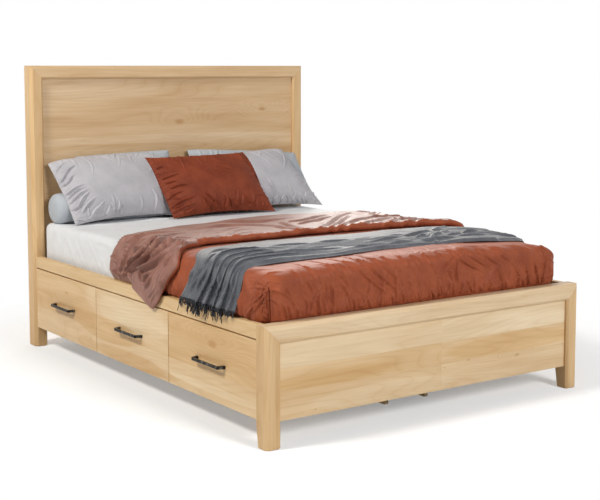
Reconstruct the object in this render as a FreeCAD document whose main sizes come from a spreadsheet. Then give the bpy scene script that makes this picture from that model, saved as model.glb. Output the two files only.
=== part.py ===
import FreeCAD, Part
import os

import Sketcher

# Queen storage bed with six drawers, dressed with bedding.
# Frame: X across the bed, +X to the right seen from the foot; Y along it, head at +Y; Z up from the floor.

V = FreeCAD.Vector
doc = FreeCAD.newDocument("storage_bed")

# Driving sizes in millimetres. Names that end in share or shares are plain ratios, count is a number of pieces.
SIZES = {
    "bed_width": 1650,
    "bed_length": 2200,
    "head_height": 1420,
    "foot_height": 465,
    # head and foot frames
    "head_member": 66,
    "head_depth": 80,
    "foot_member": 68,
    "foot_depth": 70,
    "outer_chamfer": 15,
    "inner_chamfer": 9,
    "back_ease": 3,
    "foot_ease": 4,
    "foot_taper": 16,
    "foot_taper_height": 100,
    "panel_thick": 20,
    "panel_setback": 18,
    "panel_tongue": 10,
    "panel_bottom": 100,
    "lower_rail_height": 70,
    "lower_rail_thick": 40,
    # side rails and slats
    "rail_inset": 10,
    "rail_drop": 2,
    "rail_thick": 30,
    "rail_face": 55,
    "rail_lip_drop": 63,
    "rail_ease": 3,
    "cleat_width": 25,
    "cleat_height": 40,
    "cleat_gap": 0.2,
    "slat_thick": 18,
    "slat_width": 78,
    "slat_end_gap": 1,
    "slat_count": 14,
    # carcass under the slats
    "partition_thick": 20,
    "partition_bottom": 105,
    "spine_thick": 20,
    "spine_spread": 107,
    "spine_bottom": 26,
    "spine_foot_setback": 98,
    "halving_gap": 0.2,
    "glide_radius": 18,
    "glide_base": 6,
    "glide_stem_radius": 8,
    "glide_pin_radius": 4,
    "glide_pin_length": 30,
    "pin_gap": 0.1,
    # drawers
    "front_thick": 20,
    "front_bottom": 102,
    "front_gap": 3,
    "front_top_gap": 6,
    "front_back_gap": 1,
    "front_ease": 1.5,
    "box_spine_gap": 78,
    "box_bottom": 122,
    "box_height": 190,
    "box_wall": 12,
    "box_floor": 6,
    "floor_lift": 12,
    "floor_groove": 6,
    "floor_gap": 0.2,
    "runner_gap": 12.7,
    "runner_height": 45,
    "runner_back_gap": 46,
    "runner_wall": 1.5,
    "runner_slack": 0.3,
    "runner_reveal": 1,
    "runner_bottom": 190,
    "runner_setback": 4,
    # handles
    "handle_length": 224,
    "handle_flat": 190,
    "handle_height": 12,
    "handle_bar": 8,
    "handle_reach": 33,
    "handle_level": 256,
    "handle_ease": 1.5,
    "handle_screw_spread": 194,
    "handle_screw_radius": 2,
    "handle_screw_head": 4.5,
    "handle_screw_head_thick": 2.5,
    "handle_screw_bite": 10,
    "handle_head_clear": 5,
    # fittings
    "bracket_leg": 55,
    "bracket_post_leg": 26,
    "bracket_height": 35,
    "bracket_thick": 3,
    "bracket_screw_radius": 2.5,
    "bracket_screw_head": 5,
    "bracket_screw_head_thick": 3,
    "bracket_screw_length": 28,
    "bolt_radius": 4,
    "bolt_head": 8,
    "bolt_head_thick": 5,
    "bolt_length": 55,
    "bolt_low": 150,
    "bolt_high": 320,
    "bore_spare": 5,
    # mattress and sheet
    "mattress_side_gap": 20,
    "mattress_foot_gap": 17,
    "mattress_head_gap": 3,
    "mattress_thick": 225,
    "mattress_round": 30,
    "soft_gap": 0.3,
    "sheet_thick": 2,
    "sheet_hem_lift": 8,
    # duvet
    "duvet_tuck": 14,
    "duvet_loft": 25,
    "duvet_edge_loft": 15,
    "duvet_bulge": 15,
    "duvet_bulge_drop": 110,
    "duvet_shoulder_drop": 48,
    "duvet_shoulder_in": 40,
    "duvet_foot_puff": 10,
    "duvet_turn_thick": 20,
    "duvet_tip_width": 210,
    "duvet_tip_thick": 9,
    "duvet_tip_fold": 5,
    "duvet_crease_side": 1295,
    "duvet_crease_near": 1440,
    "duvet_crease_near_inset": 160,
    "duvet_crease_far": 1670,
    "duvet_hem_near": 705,
    "duvet_hem_far": 810,
    # throw
    "throw_foot_gap": 140,
    "throw_width": 585,
    "throw_hang_width": 460,
    "throw_thick": 5,
    "throw_fold": 13,
    "throw_fold_count": 5,
    "throw_hem_lift": 5,
    "throw_far_drop": 50,
    # pillows, bolster and cushion
    "pillow_length": 690,
    "pillow_height": 400,
    "pillow_thick": 165,
    "back_pillow_length": 640,
    "back_pillow_height": 395,
    "back_pillow_thick": 120,
    "cushion_length": 625,
    "cushion_height": 400,
    "cushion_thick": 150,
    "pillow_seam": 7,
    "pillow_sink": 14,
    "pillow_draw": 14,
    "bolster_length": 700,
    "bolster_radius": 75,
    "bolster_dome": 28,
    "bolster_press": 4,
    # one overrun for every cut
    "overrun": 5,
}

# Places and proportions chosen by hand, as shares of the sizes that they follow
glide_shares = (-0.33, 0.0, 0.33)
shoulder_share = 0.27
foot_puff_shares = ((1.0, 1.9), (0.6, 1.0))
foot_rise_shares = ((0.0, 0.35), (2.0, 0.0))
tip_start_share = -0.1
tip_end_share = 1.1
tip_outline_shares = (0.02, 0.19, 0.25, 1.0)
pillow_swell_shares = (
    (-1.0, 0.06),
    (-0.86, 0.5),
    (-0.55, 0.88),
    (0.0, 1.0),
    (0.55, 0.88),
    (0.86, 0.5),
    (1.0, 0.06),
)
seam_crown_share = 1.01
dome_across_share = 0.3
dome_up_share = 0.7
# Each pillow's place: across as a share of the half width, in front of the posts as a share of the height
back_left_shares = (-0.42, 0.34)
back_right_shares = (0.44, 0.34)
front_left_shares = (-0.50, 0.56)
front_right_shares = (0.52, 0.53)
cushion_shares = (0.055, 1.05)

sheet = doc.addObject("Spreadsheet::Sheet", "Sizes")
for row, (alias, number) in enumerate(SIZES.items(), start=1):
    sheet.set("A%d" % row, alias)
    sheet.set("B%d" % row, str(number))
    sheet.setAlias("B%d" % row, alias)
doc.recompute()


class Size:
    """A length that carries its number and the sheet expression that gives it."""

    def __init__(self, number, text):
        self.number = float(number)
        self.text = text

    def __float__(self):
        return self.number

    def __add__(self, other):
        return Size(self.number + float(other), "(%s + %s)" % (self.text, text_of(other)))

    def __radd__(self, other):
        return Size(float(other) + self.number, "(%s + %s)" % (text_of(other), self.text))

    def __sub__(self, other):
        return Size(self.number - float(other), "(%s - %s)" % (self.text, text_of(other)))

    def __rsub__(self, other):
        return Size(float(other) - self.number, "(%s - %s)" % (text_of(other), self.text))

    def __mul__(self, other):
        return Size(self.number * float(other), "%s * %s" % (self.text, text_of(other)))

    def __rmul__(self, other):
        return Size(self.number * float(other), "%s * %s" % (self.text, text_of(other)))

    def __truediv__(self, other):
        return Size(self.number / float(other), "%s / (%s)" % (self.text, text_of(other)))

    def __neg__(self):
        return Size(-self.number, "(0 - %s)" % self.text)


def text_of(value):
    return value.text if isinstance(value, Size) else "(%r)" % value


class Table:
    """The sheet's sizes by name."""

    def __getattr__(self, alias):
        return Size(sheet.get(alias), "Sizes." + alias)


S = Table()
LEFT, RIGHT = -1, 1
nodes = []
counter = [0]


def fresh(stem):
    """A document name for a construction object."""
    counter[0] += 1
    return "%s_%d" % (stem, counter[0])


def keep(obj, label):
    """Marks an object as a sub-part of the bed."""
    obj.Label = label
    nodes.append(obj)
    return obj


def place(obj, x=0, y=0, z=0, turn=0):
    """Puts an object at a point, turned about the vertical by whole degrees."""
    obj.Placement = FreeCAD.Placement(V(0, 0, 0), FreeCAD.Rotation(V(0, 0, 1), turn))
    for axis, value in zip("xyz", (x, y, z)):
        obj.setExpression("Placement.Base." + axis, text_of(value))
    return obj


def block(x_pair, y_pair, z_pair, stem="block"):
    """A rectangular piece between two planes on each axis."""
    obj = doc.addObject("Part::Box", fresh(stem))
    for prop, (low, high) in zip(("Length", "Width", "Height"), (x_pair, y_pair, z_pair)):
        obj.setExpression(prop, text_of(high - low))
    return place(obj, x_pair[0], y_pair[0], z_pair[0])


def rod(radius, length, direction, x, y, z):
    """A round bar that starts at a point and runs along a direction."""
    obj = doc.addObject("Part::Cylinder", fresh("rod"))
    obj.setExpression("Radius", text_of(radius))
    obj.setExpression("Height", text_of(length))
    place(obj, x, y, z)
    spin = FreeCAD.Rotation(V(0, 0, 1), V(*direction))
    obj.Placement = FreeCAD.Placement(obj.Placement.Base, spin)
    return obj


def side_span(side, inner, outer):
    """The X range between two distances from the bed's middle, on one side."""
    return (inner, outer) if side == RIGHT else (-outer, -inner)


def cut(base, tools, stem="cut"):
    """A piece with one or more tools taken out of it."""
    obj = doc.addObject("Part::Cut", fresh(stem))
    obj.Base = base
    obj.Tool = tools[0] if len(tools) == 1 else group(tools)
    return obj


def group(pieces):
    """Separate pieces under one name."""
    obj = doc.addObject("Part::Compound", fresh("group"))
    obj.Links = pieces
    return obj


def screw(radius, head_radius, head_thick, length, direction, x, y, z):
    """A screw whose head sits on a surface point and whose shank runs along a direction."""
    back = [-part for part in direction]
    head = rod(head_radius, head_thick, back, x, y, z)
    shank = rod(radius, length, direction, x, y, z)
    obj = doc.addObject("Part::Fuse", fresh("screw"))
    obj.Base = head
    obj.Tool = shank
    return obj


def plane_of(body, role):
    return [item for item in body.Origin.OriginFeatures if item.Role == role][0]


def outline(body, role, points, circles=()):
    """A sketch of one closed outline or of circles, every point bound to the sheet."""
    sketch = body.newObject("Sketcher::SketchObject", fresh("sketch"))
    sketch.AttachmentSupport = (plane_of(body, role), [""])
    sketch.MapMode = "FlatFace"
    spots = [V(float(x), float(y), 0) for x, y in points]
    for number, spot in enumerate(spots):
        sketch.addGeometry(Part.LineSegment(spot, spots[(number + 1) % len(spots)]), False)
    for number in range(len(spots)):
        sketch.addConstraint(Sketcher.Constraint("Coincident", number, 2, (number + 1) % len(spots), 1))
    for number, point in enumerate(points):
        for kind, value in zip(("DistanceX", "DistanceY"), point):
            index = sketch.addConstraint(Sketcher.Constraint(kind, number, 1, float(value)))
            sketch.setExpression("Constraints[%d]" % index, text_of(value))
    for x, y, radius in circles:
        number = sketch.addGeometry(Part.Circle(V(float(x), float(y), 0), V(0, 0, 1), float(radius)), False)
        for kind, value in (("DistanceX", x), ("DistanceY", y)):
            index = sketch.addConstraint(Sketcher.Constraint(kind, number, 3, float(value)))
            sketch.setExpression("Constraints[%d]" % index, text_of(value))
        index = sketch.addConstraint(Sketcher.Constraint("Radius", number, float(radius)))
        sketch.setExpression("Constraints[%d]" % index, text_of(radius))
    return sketch


def new_body(label):
    return doc.addObject("PartDesign::Body", label + "_body")


def pad(body, role, points, length, middle=False, back=False):
    """Material pushed out from an outline; back turns the direction round."""
    feature = body.newObject("PartDesign::Pad", fresh("pad"))
    feature.Profile = outline(body, role, points)
    feature.setExpression("Length", text_of(length))
    feature.Midplane = middle
    feature.Reversed = back
    doc.recompute()
    return feature


def pocket(body, role, points, length=None, circles=()):
    """A cut through everything, or to half the length on both sides of the plane."""
    before = body.Shape.Volume
    feature = body.newObject("PartDesign::Pocket", fresh("pocket"))
    feature.Profile = outline(body, role, points, circles)
    feature.Midplane = True
    if length is None:
        feature.Type = "ThroughAll"
    else:
        feature.setExpression("Length", text_of(length))
    doc.recompute()
    if not body.Shape.Volume < before:
        raise RuntimeError("a pocket in %s cuts nothing" % body.Label)
    return feature


def ease(body, size, wanted):
    """A chamfer on the edges that a test picks."""
    base = body.Tip
    names = ["Edge%d" % (i + 1) for i, edge in enumerate(base.Shape.Edges) if wanted(edge.BoundBox)]
    feature = body.newObject("PartDesign::Chamfer", fresh("chamfer"))
    feature.Base = (base, names)
    feature.setExpression("Size", text_of(size))
    doc.recompute()
    return feature


# Planes that the pieces share, worked out from the driving sizes
half_width = S.bed_width / 2
half_length = S.bed_length / 2
foot_front = -half_length
foot_back = foot_front + S.foot_depth
head_front = half_length - S.head_depth
rail_outer = half_width - S.rail_inset
rail_inner = rail_outer - S.rail_thick
rail_top = S.foot_height - S.rail_drop
rail_low = rail_top - S.rail_face
lip_low = rail_low - S.rail_lip_drop
front_back = rail_outer - S.front_thick
carcass_side = front_back - S.front_back_gap
slat_seat = lip_low + S.cleat_height
slat_top = slat_seat + S.slat_thick
head_panel_front = head_front + S.panel_setback
foot_panel_front = foot_front + S.panel_setback
front_top = rail_low - S.front_top_gap
pitch = (head_front - foot_back) / 3
cleat_inner = rail_inner - S.cleat_width
box_back = S.spine_spread + S.spine_thick / 2 + S.box_spine_gap
near = 0.001


def bracket_screw_spots(post_y, away):
    """Where a corner bracket's screws go: distances from the bed's middle, Y, height and direction."""
    spots = []
    quarter = S.bracket_height / 4
    low = rail_low + quarter
    high = rail_low + S.bracket_height - quarter
    post_x = rail_inner - S.bracket_post_leg / 2
    for level in (low, high):
        spots.append(("post", post_x, post_y + away * S.bracket_thick, level))
    first = S.bracket_leg / 2
    second = S.bracket_leg - S.bracket_screw_head * 2
    for reach in (first, second):
        spots.append(("rail", rail_inner - S.bracket_thick, post_y + away * reach, low + quarter))
    return spots


def bolt_spots(member):
    """Where the bed bolts go through an end partition into a post."""
    across = (half_width - member + carcass_side) / 2
    return [(across, S.bolt_low), (across, S.bolt_high)]


def post_screw_bores(side, post_y, away):
    """Bores for the corner bracket's screws that go into a post, and into the rail mitred to it."""
    radius = S.bracket_screw_radius + S.pin_gap
    reach = S.bracket_screw_length + S.overrun
    start = post_y + away * S.overrun
    return [
        rod(radius, reach, (0, -away, 0), side * x, start, z)
        for kind, x, y, z in bracket_screw_spots(post_y, away)
        if kind == "post"
    ]


def make_post(label, side, member, depth, height, front_y, inner_face_y, away, taper):
    """A square post: chamfered front edges, mitred top, grooved for the panel and bored for its fixings."""
    body = new_body(label)
    section = [
        (S.inner_chamfer, 0),
        (member - S.outer_chamfer, 0),
        (member, S.outer_chamfer),
        (member, depth - S.back_ease),
        (member - S.back_ease, depth),
        (0, depth),
        (0, S.inner_chamfer),
    ]
    pad(body, "XY_Plane", [(side * x, y) for x, y in section], height)
    over = S.overrun
    mitre = [(-over, height - member - over), (member + over, height + over), (-over, height + over)]
    pocket(body, "XZ_Plane", [(side * x, z) for x, z in mitre])
    groove_front = S.panel_setback
    groove_back = S.panel_setback + S.panel_thick
    groove_top = height - member + S.panel_tongue
    low = S.panel_bottom
    groove = [(groove_front, low), (groove_back, low), (groove_back, groove_top), (groove_front, groove_top)]
    pocket(body, "YZ_Plane", groove, S.panel_tongue * 2)
    if taper:
        wedge = [
            (depth - S.foot_taper * (1 + over / S.foot_taper_height), -over),
            (depth + over, -over),
            (depth + over, S.foot_taper_height),
            (depth, S.foot_taper_height),
        ]
        pocket(body, "YZ_Plane", wedge)
    ease(body, S.foot_ease, lambda box: box.ZMax < near)
    place(body, side * (half_width - member), front_y)
    holes = post_screw_bores(side, inner_face_y, away)
    for x, z in bolt_spots(member):
        start = inner_face_y + away * over
        reach = S.bolt_length - S.partition_thick + S.bore_spare + over
        holes.append(rod(S.bolt_radius + S.pin_gap, reach, (0, -away, 0), side * x, start, z))
    keep(cut(body, holes, "post"), label)


def make_top_rail(label, member, depth, height, front_y, inner_face_y, away):
    """A rail with the posts' section on its side, mitred to them at both ends."""
    body = new_body(label)
    groove_front = S.panel_setback
    groove_back = S.panel_setback + S.panel_thick
    section = [
        (0, S.inner_chamfer),
        (0, member - S.outer_chamfer),
        (S.outer_chamfer, member),
        (depth - S.back_ease, member),
        (depth, member - S.back_ease),
        (depth, 0),
        (groove_back, 0),
        (groove_back, S.panel_tongue),
        (groove_front, S.panel_tongue),
        (groove_front, 0),
        (S.inner_chamfer, 0),
    ]
    pad(body, "YZ_Plane", section, S.bed_width, middle=True)
    over = S.overrun
    inner = half_width - member
    mitre = [(inner - over, -over), (half_width + over, member + over), (half_width + over, -over)]
    for side in (LEFT, RIGHT):
        pocket(body, "XZ_Plane", [(side * x, z) for x, z in mitre])
    place(body, 0, front_y, height - member)
    holes = [bore for side in (LEFT, RIGHT) for bore in post_screw_bores(side, inner_face_y, away)]
    keep(cut(body, holes, "top_rail"), label)


def make_head_and_foot():
    """Headboard and footboard: two posts, a top rail, a panel, and a lower rail at the head."""
    for side, name in ((LEFT, "left"), (RIGHT, "right")):
        make_post("headboard_%s_post" % name, side, S.head_member, S.head_depth, S.head_height,
                  head_front, head_front, -1, False)
        make_post("footboard_%s_post" % name, side, S.foot_member, S.foot_depth, S.foot_height,
                  foot_front, foot_back, 1, True)
    make_top_rail("headboard_top_rail", S.head_member, S.head_depth, S.head_height, head_front, head_front, -1)
    make_top_rail("footboard_top_rail", S.foot_member, S.foot_depth, S.foot_height, foot_front, foot_back, 1)
    head_reach = half_width - S.head_member + S.panel_tongue
    foot_reach = half_width - S.foot_member + S.panel_tongue
    head_low = S.panel_bottom + S.lower_rail_height - S.panel_tongue
    head_panel = block((-head_reach, head_reach), (head_panel_front, head_panel_front + S.panel_thick),
                       (head_low, S.head_height - S.head_member + S.panel_tongue))
    keep(head_panel, "headboard_panel")
    foot_panel = block((-foot_reach, foot_reach), (foot_panel_front, foot_panel_front + S.panel_thick),
                       (S.panel_bottom, S.foot_height - S.foot_member + S.panel_tongue))
    keep(foot_panel, "footboard_panel")
    half_rail = half_width - S.head_member
    rail_front = head_panel_front + (S.panel_thick - S.lower_rail_thick) / 2
    lower = block((-half_rail, half_rail), (rail_front, rail_front + S.lower_rail_thick),
                  (S.panel_bottom, S.panel_bottom + S.lower_rail_height))
    groove = block((-half_width, half_width), (head_panel_front, head_panel_front + S.panel_thick),
                   (head_low, S.panel_bottom + S.lower_rail_height + S.overrun))
    keep(cut(lower, [groove], "lower_rail"), "headboard_lower_rail")


def make_side_rail(name, side):
    """A rail with an eased top edge and a thin lip that hangs down behind the drawer fronts."""
    label = name + "_side_rail"
    body = new_body(label)
    section = [
        (rail_outer, rail_low),
        (rail_outer, rail_top - S.rail_ease),
        (rail_outer - S.rail_ease, rail_top),
        (rail_inner, rail_top),
        (rail_inner, lip_low),
        (carcass_side, lip_low),
        (carcass_side, rail_low),
    ]
    pad(body, "XZ_Plane", [(side * x, z) for x, z in section], head_front - foot_back, back=True)
    place(body, 0, foot_back)
    holes = []
    for post_y, away in ((foot_back, 1), (head_front, -1)):
        for kind, x, y, z in bracket_screw_spots(post_y, away):
            if kind == "rail":
                start = rail_inner - S.overrun
                reach = S.bracket_screw_length - S.bracket_screw_radius * 2 + S.overrun
                holes.append(rod(S.bracket_screw_radius + S.pin_gap, reach, (side, 0, 0), side * start, y, z))
    keep(cut(body, holes, "side_rail"), label)
    cleat = block(side_span(side, cleat_inner, rail_inner), (foot_back, head_front), (lip_low, slat_seat))
    keep(cleat, name + "_slat_cleat")


def partition_faces():
    """The Y range of each cross partition, from the foot."""
    thick = S.partition_thick
    first = foot_back
    last = head_front - thick
    second = foot_back + pitch - thick / 2
    third = foot_back + pitch * 2 - thick / 2
    return [(start, start + thick) for start in (first, second, third, last)]


def make_partitions():
    """Four cross boards; the inner two are halved into the spine boards from above."""
    middle = (S.partition_bottom + slat_seat) / 2
    shoulder = cleat_inner - S.cleat_gap
    slot_in = S.spine_spread - S.spine_thick / 2 - S.halving_gap
    slot_out = S.spine_spread + S.spine_thick / 2 + S.halving_gap
    for number, (y_low, y_high) in enumerate(partition_faces(), start=1):
        right_half = [(slot_in, slat_seat), (slot_in, middle), (slot_out, middle), (slot_out, slat_seat)]
        if number in (1, 4):
            right_half = []
        right_half += [
            (shoulder, slat_seat),
            (shoulder, lip_low),
            (carcass_side, lip_low),
            (carcass_side, S.partition_bottom),
        ]
        left_half = [(-x, z) for x, z in reversed(right_half)]
        label = "partition_%d" % number
        body = new_body(label)
        pad(body, "XZ_Plane", right_half + left_half, S.partition_thick, back=True)
        place(body, 0, y_low)
        if number in (1, 4):
            member = S.foot_member if number == 1 else S.head_member
            holes = [
                rod(S.bolt_radius + S.pin_gap, S.partition_thick + S.overrun * 2, (0, 1, 0),
                    side * x, y_low - S.overrun, z)
                for side in (LEFT, RIGHT)
                for x, z in bolt_spots(member)
            ]
            keep(cut(body, holes, "partition"), label)
        else:
            keep(body, label)


def glide_places():
    """Y of each glide along a spine board."""
    return [S.bed_length * share for share in glide_shares]


def make_spine():
    """Two long boards that carry the middle of the slats, on six glides."""
    faces = partition_faces()
    start = faces[0][1]
    end = faces[3][0]
    middle = (S.partition_bottom + slat_seat) / 2
    gap = S.halving_gap
    points = [(start, S.partition_bottom), (start + S.spine_foot_setback, S.partition_bottom)]
    points.append((start + S.spine_foot_setback, S.spine_bottom))
    for low, high in faces[1:3]:
        points += [(low - gap, S.spine_bottom), (low - gap, middle)]
        points += [(high + gap, middle), (high + gap, S.spine_bottom)]
    points += [(end - S.spine_foot_setback, S.spine_bottom), (end - S.spine_foot_setback, S.partition_bottom)]
    points += [(end, S.partition_bottom), (end, slat_seat), (start, slat_seat)]
    pin_top = S.spine_bottom + S.glide_pin_length
    glides = []
    for side, name in ((LEFT, "left"), (RIGHT, "right")):
        label = "spine_%s_board" % name
        body = new_body(label)
        pad(body, "YZ_Plane", points, S.spine_thick, middle=True)
        place(body, side * S.spine_spread)
        holes = []
        for y in glide_places():
            x = side * S.spine_spread
            bore = S.glide_pin_radius + S.pin_gap
            depth = S.glide_pin_length + S.bore_spare + S.overrun
            holes.append(rod(bore, depth, (0, 0, 1), x, y, S.spine_bottom - S.overrun))
            base = rod(S.glide_radius, S.glide_base, (0, 0, 1), x, y, 0)
            stem = rod(S.glide_stem_radius, S.spine_bottom, (0, 0, 1), x, y, 0)
            pin = rod(S.glide_pin_radius, pin_top, (0, 0, 1), x, y, 0)
            glide = doc.addObject("Part::MultiFuse", fresh("glide"))
            glide.Shapes = [base, stem, pin]
            glides.append(glide)
        keep(cut(body, holes, "spine"), label)
    keep(group(glides), "spine_glides")


def make_slats():
    """Cross slats that lie on the cleats, the spine boards and the partitions."""
    reach = rail_inner - S.slat_end_gap
    count = int(float(S.slat_count))
    run = head_front - foot_back - S.slat_width - S.slat_end_gap * 2
    slats = []
    for number in range(count):
        y = foot_back + S.slat_end_gap + run * (number / (count - 1))
        slats.append(block((-reach, reach), (y, y + S.slat_width), (slat_seat, slat_top), "slat"))
    keep(group(slats), "slats")


def make_fittings():
    """Corner brackets and their screws, and the bolts through the end partitions."""
    brackets = []
    screws = []
    bolts = []
    faces = partition_faces()
    for side in (LEFT, RIGHT):
        for post_y, away, member, face in (
            (foot_back, 1, S.foot_member, faces[0][1]),
            (head_front, -1, S.head_member, faces[3][0]),
        ):
            far = post_y + away * S.bracket_leg
            thin = post_y + away * S.bracket_thick
            levels = (rail_low, rail_low + S.bracket_height)
            leg_ys = (post_y, far) if away == 1 else (far, post_y)
            foot_ys = (post_y, thin) if away == 1 else (thin, post_y)
            leg = block(side_span(side, rail_inner - S.bracket_thick, rail_inner), leg_ys, levels)
            foot = block(side_span(side, rail_inner - S.bracket_post_leg, rail_inner), foot_ys, levels)
            plate = doc.addObject("Part::Fuse", fresh("bracket"))
            plate.Base = leg
            plate.Tool = foot
            holes = []
            for kind, x, y, z in bracket_screw_spots(post_y, away):
                direction = (0, -away, 0) if kind == "post" else (side, 0, 0)
                reach = S.bracket_screw_length - S.bore_spare
                if kind == "rail":
                    reach = reach - S.bracket_screw_radius * 2
                screws.append(screw(S.bracket_screw_radius, S.bracket_screw_head, S.bracket_screw_head_thick,
                                    reach, direction, side * x, y, z))
                start_x = side * x if kind == "post" else side * (x - S.overrun)
                start_y = y + away * S.overrun if kind == "post" else y
                holes.append(rod(S.bracket_screw_radius + S.pin_gap, S.bracket_thick + S.overrun * 2, direction,
                                 start_x, start_y, z))
            brackets.append(cut(plate, holes, "bracket"))
            for x, z in bolt_spots(member):
                bolts.append(screw(S.bolt_radius, S.bolt_head, S.bolt_head_thick, S.bolt_length,
                                   (0, -away, 0), side * x, face, z))
    keep(group(brackets), "corner_brackets")
    keep(group(screws), "bracket_screws")
    keep(group(bolts), "bed_bolts")


def bays():
    """For each drawer from the foot: its front's Y range and the open width between partitions."""
    faces = partition_faces()
    result = []
    for number, name in enumerate(("foot", "middle", "head")):
        front = (foot_back + pitch * number, foot_back + pitch * (number + 1))
        result.append((name, front, (faces[number][1], faces[number + 1][0])))
    return result


def channel(x_pair, y_web, y_lip, z_pair, toward):
    """A thin channel along X, open on the side away from its web."""
    wall = S.runner_wall
    outer_y = (y_web, y_lip) if toward == 1 else (y_lip, y_web)
    inner_y = (y_web + wall, y_lip + S.overrun) if toward == 1 else (y_lip - S.overrun, y_web - wall)
    outer = block(x_pair, outer_y, z_pair, "channel")
    hollow = block((x_pair[0] - S.overrun, x_pair[1] + S.overrun), inner_y, (z_pair[0] + wall, z_pair[1] - wall))
    return cut(outer, [hollow], "channel")


def make_drawers():
    """Six drawers: front, box, moving runner members, and a handle with its screws."""
    fixed = []
    for side, side_name in ((LEFT, "left"), (RIGHT, "right")):
        for name, front, bay in bays():
            stem = "%s_%s_drawer" % (side_name, name)
            make_front(stem + "_front", side, front)
            make_box(stem + "_box", side, bay)
            make_handle(stem + "_handle", side, (front[0] + front[1]) / 2)
            fixed += make_runners(stem + "_runners", side, bay)
    keep(group(fixed), "fixed_runners")


def make_front(label, side, front):
    """A solid front with eased edges and two holes for the handle's screws."""
    body = new_body(label)
    width = front[1] - front[0] - S.front_gap
    half = width / 2
    height = front_top - S.front_bottom
    rectangle = [(-half, 0), (half, 0), (half, height), (-half, height)]
    pad(body, "YZ_Plane", rectangle, S.front_thick)
    face = float(S.front_thick)
    ease(body, S.front_ease, lambda box: box.XMin > face - near)
    hole = S.handle_screw_radius + S.pin_gap
    level = S.handle_level - S.front_bottom
    spread = S.handle_screw_spread / 2
    pocket(body, "YZ_Plane", [], None, [(-spread, level, hole), (spread, level, hole)])
    turn = 0 if side == RIGHT else 180
    keep(place(body, side * front_back, (front[0] + front[1]) / 2, S.front_bottom, turn), label)


def make_box(label, side, bay):
    """The open box behind a front: sides, inner front and back grooved round a thin floor."""
    low_y = bay[0] + S.runner_gap
    high_y = bay[1] - S.runner_gap
    inner = box_back
    levels = (S.box_bottom, S.box_bottom + S.box_height)
    wall = S.box_wall
    across = side_span(side, inner, front_back)
    near_end = side_span(side, front_back - wall, front_back)
    far_end = side_span(side, inner, inner + wall)
    between = (low_y + wall, high_y - wall)
    floor_low = S.box_bottom + S.floor_lift
    tongue = wall - S.floor_groove
    groove = block((across[0] + tongue, across[1] - tongue), (low_y + tongue, high_y - tongue),
                   (floor_low, floor_low + S.box_floor), "groove")
    slack = tongue + S.floor_gap
    floor = block((across[0] + slack, across[1] - slack), (low_y + slack, high_y - slack),
                  (floor_low, floor_low + S.box_floor), "floor")
    walls = [
        block(across, (low_y, low_y + wall), levels, "wall"),
        block(across, (high_y - wall, high_y), levels, "wall"),
        block(near_end, between, levels, "wall"),
        block(far_end, between, levels, "wall"),
    ]
    hole_span = S.handle_screw_spread / 2
    middle = middle_of_front(bay)
    pieces = [cut(item, [groove], "wall") for item in walls]
    bores = []
    for step in (-hole_span, hole_span):
        direction = (side, 0, 0)
        start = side * (front_back - wall - S.overrun)
        bores.append(rod(S.handle_screw_head + S.handle_head_clear, wall + S.overrun * 2, direction,
                         start, middle + step, S.handle_level))
    pieces[2] = cut(pieces[2], bores, "inner_front")
    keep(group(pieces + [floor]), label)


def middle_of_front(bay):
    """The front's middle for a bay: the end bays' fronts lap further over the end partitions."""
    for _, front, other in bays():
        if abs(float(other[0]) - float(bay[0])) < near:
            return (front[0] + front[1]) / 2
    raise RuntimeError("no front for this bay")


def make_runners(label, side, bay):
    """The two members that ride with a drawer; returns the two that stay on the partitions."""
    end = front_back - S.runner_setback
    along = side_span(side, box_back + S.runner_back_gap, end)
    low = S.runner_bottom
    high = S.runner_bottom + S.runner_height
    inset = S.runner_wall + S.runner_slack
    moving = []
    fixed = []
    for face, toward in ((bay[0], 1), (bay[1], -1)):
        drawer_face = face + toward * S.runner_gap
        fixed.append(channel(along, face, drawer_face - toward * S.runner_reveal, (low, high), toward))
        moving.append(channel(along, drawer_face, face + toward * inset, (low + inset, high - inset), -toward))
    keep(group(moving), label)
    return fixed


def make_handle(label, side, middle):
    """A bow pull: a flat bar whose ends bend back to the front, held by two screws from inside."""
    body = new_body(label)
    reach = S.handle_reach
    bar = S.handle_bar
    end = S.handle_length / 2
    bend = S.handle_flat / 2
    right_half = [
        (0, end),
        (reach - bar, bend + bar),
        (reach, bend),
    ]
    left_half = [(x, -y) for x, y in reversed(right_half)]
    inner = [
        (0, -(end - bar * 2)),
        (reach - bar * 1.5, -(bend - bar / 2)),
        (reach - bar, -(bend - bar)),
        (reach - bar, bend - bar),
        (reach - bar * 1.5, bend - bar / 2),
        (0, end - bar * 2),
    ]
    pad(body, "XY_Plane", right_half + left_half + inner, S.handle_height, middle=True)
    front_face = float(reach)
    ease(body, S.handle_ease, lambda box: box.XMin > front_face - near)
    hole = S.handle_screw_radius + S.pin_gap
    spread = S.handle_screw_spread / 2
    bite = S.handle_screw_bite
    holes = [
        rod(hole, bite + S.overrun, (1, 0, 0), -S.overrun, step, 0)
        for step in (-spread, spread)
    ]
    turn = 0 if side == RIGHT else 180
    drilled = place(cut(body, holes, "pull"), side * rail_outer, middle, S.handle_level, turn)
    screws = [
        screw(S.handle_screw_radius, S.handle_screw_head, S.handle_screw_head_thick,
              S.front_thick + bite - S.handle_screw_radius, (side, 0, 0),
              side * front_back, middle + step, S.handle_level)
        for step in (-spread, spread)
    ]
    keep(group([drilled] + screws), label)


def soft(label, shape):
    """A soft piece, whose form is worked out from the sheet's numbers."""
    obj = doc.addObject("Part::Feature", label)
    obj.Shape = shape
    return keep(obj, label)


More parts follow.
